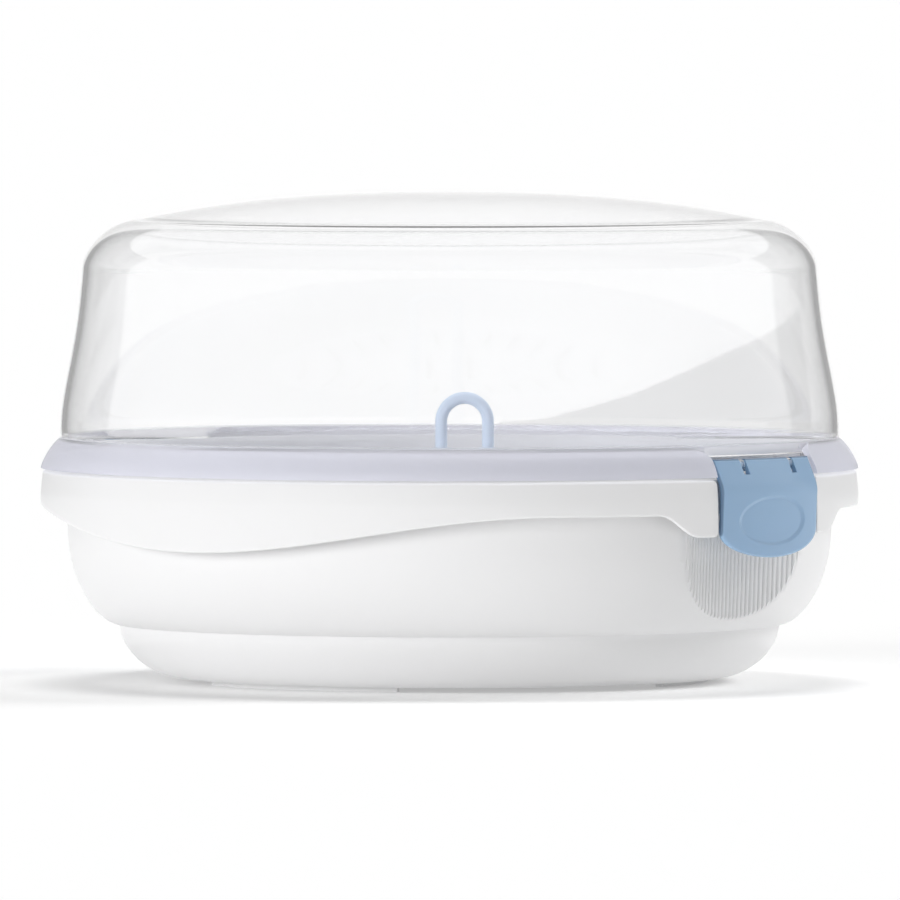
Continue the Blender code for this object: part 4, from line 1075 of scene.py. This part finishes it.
def slot_outline(start, end, half_width, points):
    line = []
    for middle, first in ((end - half_width, -math.pi / 2), (start + half_width, math.pi / 2)):
        line += [(middle + half_width * math.cos(first + math.pi * i / points),
                  half_width * math.sin(first + math.pi * i / points)) for i in range(points + 1)]
    return line


print("tray floor at", round(tray_floor, 4))

# %% [markdown]
# ## Slots round a ring, with Geometry Nodes
# The slots repeat, so a node tree places them: a circle of points, one cutter on each point,
# turned to face outwards. Count, phase and cutter are inputs of the tree, and one tree serves
# both rings of slots.

# %% Ring of copies
OUTER_SLOTS = (24, 0.0680, 0.1000)   # count, start and end
INNER_SLOTS = (12, 0.0300, 0.0560)
SLOT_HALF_WIDTH = 0.0022
SLOT_MARGIN = 0.001


def ring_of_copies():
    tree, source = new_tree("ring_of_copies", (("Count", "Int"), ("Phase", "Float")))
    given = source.outputs
    index = add_node(tree, "GeometryNodeInputIndex").outputs[0]
    share = calculate(tree, "DIVIDE", index, given["Count"])
    spin = calculate(tree, "MULTIPLY_ADD", share, math.tau, given["Phase"])
    points = add_node(tree, "GeometryNodePoints", {"Count": given["Count"]})
    rotation = add_node(tree, "ShaderNodeCombineXYZ", {"Z": spin})
    copies = add_node(tree, "GeometryNodeInstanceOnPoints",
                      {"Points": points.outputs[0], "Instance": given["Geometry"],
                       "Rotation": rotation.outputs[0]})
    end_tree(tree, source, copies.outputs[0])
    return tree


copies_tree = ring_of_copies()
for label, (count, start, end) in (("outer", OUTER_SLOTS), ("inner", INNER_SLOTS)):
    cutter = prism(f"{label}_slots", slot_outline(start, end, SLOT_HALF_WIDTH, 10),
                   tray_floor - SLOT_MARGIN, tray_floor + TRAY_WALL + SLOT_MARGIN)
    run_tree(cutter, copies_tree, {"Count": count, "Phase": VIEW_TURN + math.pi / count,
                                   "Material": pale_lavender})
    combine(tray, [cutter], "DIFFERENCE")
print("slots cut:", OUTER_SLOTS[0], "outer and", INNER_SLOTS[0], "inner")

# %% [markdown]
# ## The loop and its block
# The tray is lifted by an inverted U of round bar, pressed into two sockets of a small block
# in the middle of the tray.

# %% Loop block
LOOP_ROD = 0.0041
LOOP_INNER_WIDTH = 0.0118
LOOP_OFFSET = 0.0051
LOOP_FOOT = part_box("lift_loop")[0].z
BLOCK_MARGIN = 0.0022
BLOCK_HEIGHT = 0.0070
block_top = tray_floor + TRAY_WALL + BLOCK_HEIGHT
half_length = LOOP_INNER_WIDTH / 2 + LOOP_ROD + BLOCK_MARGIN
socket_block = prism("loop_block", slot_outline(-half_length, half_length,
                                                LOOP_ROD / 2 + BLOCK_MARGIN, 16),
                     tray_floor + TRAY_WALL / 2, block_top)
loop_turn = Matrix.Rotation(VIEW_TURN, 4, "Z") @ Matrix.Translation((LOOP_OFFSET, 0.0, 0.0))
socket_block.data.transform(loop_turn)
combine(tray, [socket_block], "UNION")
leg = (LOOP_INNER_WIDTH + LOOP_ROD) / 2
for sign in (1, -1):
    hole = prism(f"socket_{sign}", circle(sign * leg, 0.0, LOOP_ROD / 2 + CLEARANCE, 32),
                 LOOP_FOOT - CLEARANCE, block_top + OVERRUN)
    hole.data.transform(loop_turn)
    combine(tray, [hole], "DIFFERENCE")
dress(tray, "tray", "tray", pale_lavender)

# %% [markdown]
# ## The loop
# A bent bar is a curve with a round bevel: two straight legs and a half circle. It is made a
# mesh at once, so that its place can be written into its points.

# %% Loop
LOOP_TOP = 0.0981
LEG_STEPS = 8
ARCH_STEPS = 40

arch = LOOP_TOP - LOOP_ROD / 2 - leg
route = [(leg, LOOP_FOOT + (arch - LOOP_FOOT) * i / LEG_STEPS) for i in range(LEG_STEPS)]
for i in range(ARCH_STEPS + 1):
    angle = math.pi * i / ARCH_STEPS
    route.append((leg * math.cos(angle), arch + leg * math.sin(angle)))
route += [(-leg, arch + (LOOP_FOOT - arch) * i / LEG_STEPS) for i in range(1, LEG_STEPS + 1)]
curve = bpy.data.curves.new("loop", "CURVE")
curve.dimensions = "3D"
curve.bevel_depth = LOOP_ROD / 2
curve.bevel_resolution = 6
curve.use_fill_caps = True
spline = curve.splines.new("POLY")
spline.points.add(len(route) - 1)
for point, (across, height) in zip(spline.points, route):
    point.co = (across, 0.0, height, 1.0)
loop = bpy.data.objects.new("loop_curve", curve)
bpy.context.scene.collection.objects.link(loop)
bpy.context.view_layer.update()
loop_mesh = bpy.data.meshes.new_from_object(
    loop.evaluated_get(bpy.context.evaluated_depsgraph_get()))
bpy.data.objects.remove(loop, do_unlink=True)
loop_mesh.transform(loop_turn)
lifting_loop = bpy.data.objects.new("lifting_loop", loop_mesh)
bpy.context.scene.collection.objects.link(lifting_loop)
dress(lifting_loop, "lift_loop", "tray", pale_blue)

# %% [markdown]
# ## Blue plastic
# The clips are glossy blue polypropylene. It lets a little light through, so a face seen over
# white plastic is pale. The side and top edges carry painted shade: a much darker blue that
# stands in for the shade round the clip in its pocket.

# %% Blue material
BLUE = (0.30, 0.46, 0.66)
BLUE_WORN = (0.31, 0.475, 0.675)
# painted shade: the darker blue painted on the plate's side and top edges
BLUE_PAINTED_EDGE_SHADE = (0.115, 0.19, 0.30)
EDGE_SHADE_STARTS = (0.0254, 0.0779)       # distance from the clip's middle line, and height
EDGE_SHADE_FADE = 0.0005

blue_plastic, blue_shader = moulded_plastic("blue_plastic", BLUE, BLUE_WORN, 0.14, 0.19,
                                            30.0, 21.0)
blue_tree = blue_plastic.node_tree
axes = object_axes(blue_tree)
# masks of the painted shade, along the sides and along the top edge
shaded_side = between(blue_tree, calculate(blue_tree, "ABSOLUTE", axes["Y"]), EDGE_SHADE_STARTS[0],
                  EDGE_SHADE_STARTS[0] + EDGE_SHADE_FADE)
shaded_top = between(blue_tree, axes["Z"], EDGE_SHADE_STARTS[1], EDGE_SHADE_STARTS[1] + EDGE_SHADE_FADE / 2)
face_colour = blue_shader.inputs["Base Color"].links[0].from_socket
# the painted shade takes the place of the face colour near the edges
painted_edge_shade = mix_colours(blue_tree, calculate(blue_tree, "MAXIMUM", shaded_side, shaded_top),
                          face_colour, BLUE_PAINTED_EDGE_SHADE)
blue_tree.links.new(painted_edge_shade, blue_shader.inputs["Base Color"])
blue_shader.inputs["Subsurface Weight"].default_value = 0.08
blue_shader.inputs["Subsurface Radius"].default_value = (0.002, 0.003, 0.004)
blue_shader.inputs["Subsurface Scale"].default_value = 1.0
print("material", blue_plastic.name)

# %% [markdown]
# ## The clips
# Each clip is a plate that follows the lid's curve. A shallow thumb dimple with a crisp edge
# sits in its lower half. These rules say, for each place on the plate, how far out its face
# lies, how wide it is there, and how near its edge is.

# %% Clip face
CLIP_HALF_WIDTH = 0.0260
CLIP_TOP = 0.0785
CLIP_SIDE = 0.0545
CLIP_TOE = 0.0452
CLIP_KNEE = (0.1404, 0.0688)
DIMPLE_CENTRE = 0.0576
DIMPLE_MIDDLE = -0.0008
DIMPLE_HALF = (0.0182, 0.0084)
DIMPLE_DEPTH = 0.0007
SIDE_SOFTNESS = 0.5
EDGE_ROUNDING = 0.0009
KNEE_SOFTNESS = 0.0005
DIMPLE_EDGE_SHARE = 0.12
face_line = [(CLIP_TOP, 0.1356), (0.0776, 0.1363), (CLIP_KNEE[1], CLIP_KNEE[0]),
             (CLIP_TOE, 0.1394)]


def face_radius(height):
    """How far out the plate's face lies, with a soft knee."""
    total = 0.0
    for i in range(-4, 5):
        at = min(max(height + i * KNEE_SOFTNESS, CLIP_TOE), CLIP_TOP)
        for (high_z, high_r), (low_z, low_r) in zip(face_line, face_line[1:]):
            if low_z <= at <= high_z:
                total += low_r + (high_r - low_r) * (at - low_z) / (high_z - low_z)
                break
    return total / 9


def half_width_at(height):
    if height >= CLIP_SIDE:
        return CLIP_HALF_WIDTH
    share = (CLIP_SIDE - height) / (CLIP_SIDE - CLIP_TOE)
    return CLIP_HALF_WIDTH * math.sqrt(max(1 - share * share, 0.0))


def edge_distance(across, height):
    """Rough distance to the plate's outline."""
    side = (half_width_at(height) - abs(across)) * SIDE_SOFTNESS
    top = CLIP_TOP - height
    if height < CLIP_SIDE:
        x, y = across / CLIP_HALF_WIDTH, (CLIP_SIDE - height) / (CLIP_SIDE - CLIP_TOE)
        slope = math.hypot(x / CLIP_HALF_WIDTH, y / (CLIP_SIDE - CLIP_TOE))
        round_end = (1 - math.hypot(x, y)) / max(slope, 1e-6) * max(math.hypot(x, y), 1e-6)
        softness = SIDE_SOFTNESS + (1 - SIDE_SOFTNESS) * smooth_step(y)
        side = min(side / SIDE_SOFTNESS * softness, round_end * softness)
    return max(min(side, top), 0.0)


def rounding(distance, radius):
    if distance >= radius:
        return 0.0
    return radius - math.sqrt(max(radius ** 2 - (radius - distance) ** 2, 0.0))


def dimple_depth(across, height):
    """Hollow of the thumb dimple, which has a crisp edge and a flat floor."""
    reach = math.hypot((across - DIMPLE_MIDDLE) / DIMPLE_HALF[0],
                       (height - DIMPLE_CENTRE) / DIMPLE_HALF[1])
    return DIMPLE_DEPTH * smooth_step((1.0 - reach) / DIMPLE_EDGE_SHARE)


print("clip face from", CLIP_TOE, "to", CLIP_TOP)

# %% [markdown]
# ## The clip's plate
# The plate is a grid of points over its outline, once for the front and once for the back.
# Rows run down to the round bottom, where the last one fans out to a single point, and the
# columns crowd towards the sides, where the edge curves most.

# %% Clip plate
COLUMNS = 140
TOP_ROWS = 5
SIDE_ROWS = 66
END_ROWS = 40
CROWDING_SHARE = 0.86
CLIP_WALL = 0.0022
BACK_ROUNDING = 0.0005
TOP_THINNING = 0.0008
THIN_ABOVE = 0.072
THINNING_REACH = 0.005
LEAST_WALL = 0.0001


def clip_plate(name):
    rows = [CLIP_TOP - EDGE_ROUNDING * (1 - math.cos(math.pi / 2 * i / TOP_ROWS))
            for i in range(TOP_ROWS)]
    rows += list(np.linspace(CLIP_TOP - EDGE_ROUNDING, CLIP_SIDE, SIDE_ROWS))
    rows += [CLIP_SIDE - (CLIP_SIDE - CLIP_TOE) * math.sin(math.pi / 2 * i / END_ROWS)
             for i in range(1, END_ROWS)]
    crowd = math.pi / 2 * CROWDING_SHARE
    spread = [math.sin((2 * i / COLUMNS - 1) * crowd) / math.sin(crowd)
              for i in range(COLUMNS + 1)]
    fronts, backs = [], []
    for height in rows:
        half = half_width_at(height)
        front, back = [], []
        for share in spread:
            across = half * share
            distance = edge_distance(across, height)
            bend = CLIP_KNEE[0] - math.sqrt(CLIP_KNEE[0] ** 2 - across ** 2)
            face = face_radius(height) - bend
            out = face - rounding(distance, EDGE_ROUNDING) - dimple_depth(across, height)
            wall = CLIP_WALL - TOP_THINNING * smooth_step(
                (height - THIN_ABOVE) / THINNING_REACH)
            deep = face - wall + rounding(distance, BACK_ROUNDING)
            front.append((out, across, height))
            back.append((min(deep, out - LEAST_WALL), across, height))
        fronts.append(front)
        backs.append(back)
    tip = face_radius(CLIP_TOE)
    points = [point for row in fronts for point in row] + [point for row in backs for point in row]
    size = (COLUMNS + 1) * len(rows)
    points += [(tip - EDGE_ROUNDING, 0.0, CLIP_TOE), (tip - CLIP_WALL + BACK_ROUNDING, 0.0, CLIP_TOE)]
    faces = []
    for r in range(len(rows) - 1):
        for c in range(COLUMNS):
            a, b = r * (COLUMNS + 1) + c, (r + 1) * (COLUMNS + 1) + c
            faces.append((a, b, b + 1, a + 1))
            faces.append((size + a, size + a + 1, size + b + 1, size + b))
    last = (len(rows) - 1) * (COLUMNS + 1)
    for c in range(COLUMNS):
        faces.append((last + c, 2 * size, last + c + 1))
        faces.append((size + last + c, size + last + c + 1, 2 * size + 1))
        faces.append((c, c + 1, size + c + 1, size + c))
    edge = [r * (COLUMNS + 1) for r in range(len(rows))]
    for side, flip in ((0, False), (COLUMNS, True)):
        for r in range(len(rows) - 1):
            a, b = edge[r] + side, edge[r + 1] + side
            quad = (a, size + a, size + b, b)
            faces.append(quad[::-1] if flip else quad)
        a = edge[-1] + side
        quad = (a, size + a, 2 * size + 1, 2 * size)
        faces.append(quad[::-1] if flip else quad)
    return outward(mesh_object(name, points, faces))

# %% [markdown]
# ## Barrel, nib and slots
# A barrel behind the plate turns on the pin, a nib below it snaps under the ring's catch, and
# two slots leave room for the lid's lugs when the clip swings.

# %% Clip pair
SLOT_DEPTH = 0.0052
SLOT_REACH = 0.145
BARREL_RADIUS = 0.0021
BARREL_HALF = 0.0175
BARREL_BORE_HALF = 0.0168
NIB_INNER = PANEL_RADIUS + 0.0012
NIB_OUTER = 0.1378
NIB_TOP = PANEL_LOW - 0.0004
NIB_HEIGHT = 0.0020
NIB_HALF_WIDTH = 0.0099


def clip(side, turn):
    thing = clip_plate(f"side_clip_{side}")
    nib = swept_block("nib", block(NIB_INNER, NIB_OUTER, NIB_TOP - NIB_HEIGHT, NIB_TOP), 0.0,
                      2 * math.asin(NIB_HALF_WIDTH / PANEL_RADIUS), 16)
    combine(thing, [bar("barrel", BARREL_RADIUS, BARREL_HALF), nib], "UNION")
    outline = rounded(block(STAND_OUTER, SLOT_REACH, CLIP_TOP - SLOT_DEPTH,
                            CLIP_TOP + OVERRUN), 0.0002, 2)
    slots = [plate("slot", outline, offset, LUG_WIDTH + 2 * CLEARANCE)
             for offset in (LUG_OFFSET, -LUG_OFFSET)]
    combine(thing, slots, "DIFFERENCE")
    combine(thing, [bar("bore", PIN_RADIUS + CLEARANCE, BARREL_BORE_HALF)], "DIFFERENCE")
    return dress(turned(thing, turn), f"clip_{side}", f"clip_{side}",
                 blue_plastic)


for side, turn in SIDES:
    clip(side, turn)

# %% [markdown]
# ## Hinge pins
# The pins are short blue rods between the lid's lugs. They keep their solids as they are and
# only take the clips' plastic.

# %% Hinge pins
for side in ("right", "left"):
    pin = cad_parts[f"hinge_pin_{side}"]
    pin.data.materials.clear()
    pin.data.materials.append(blue_plastic)
    pin.data.shade_smooth()
print("pins dressed")
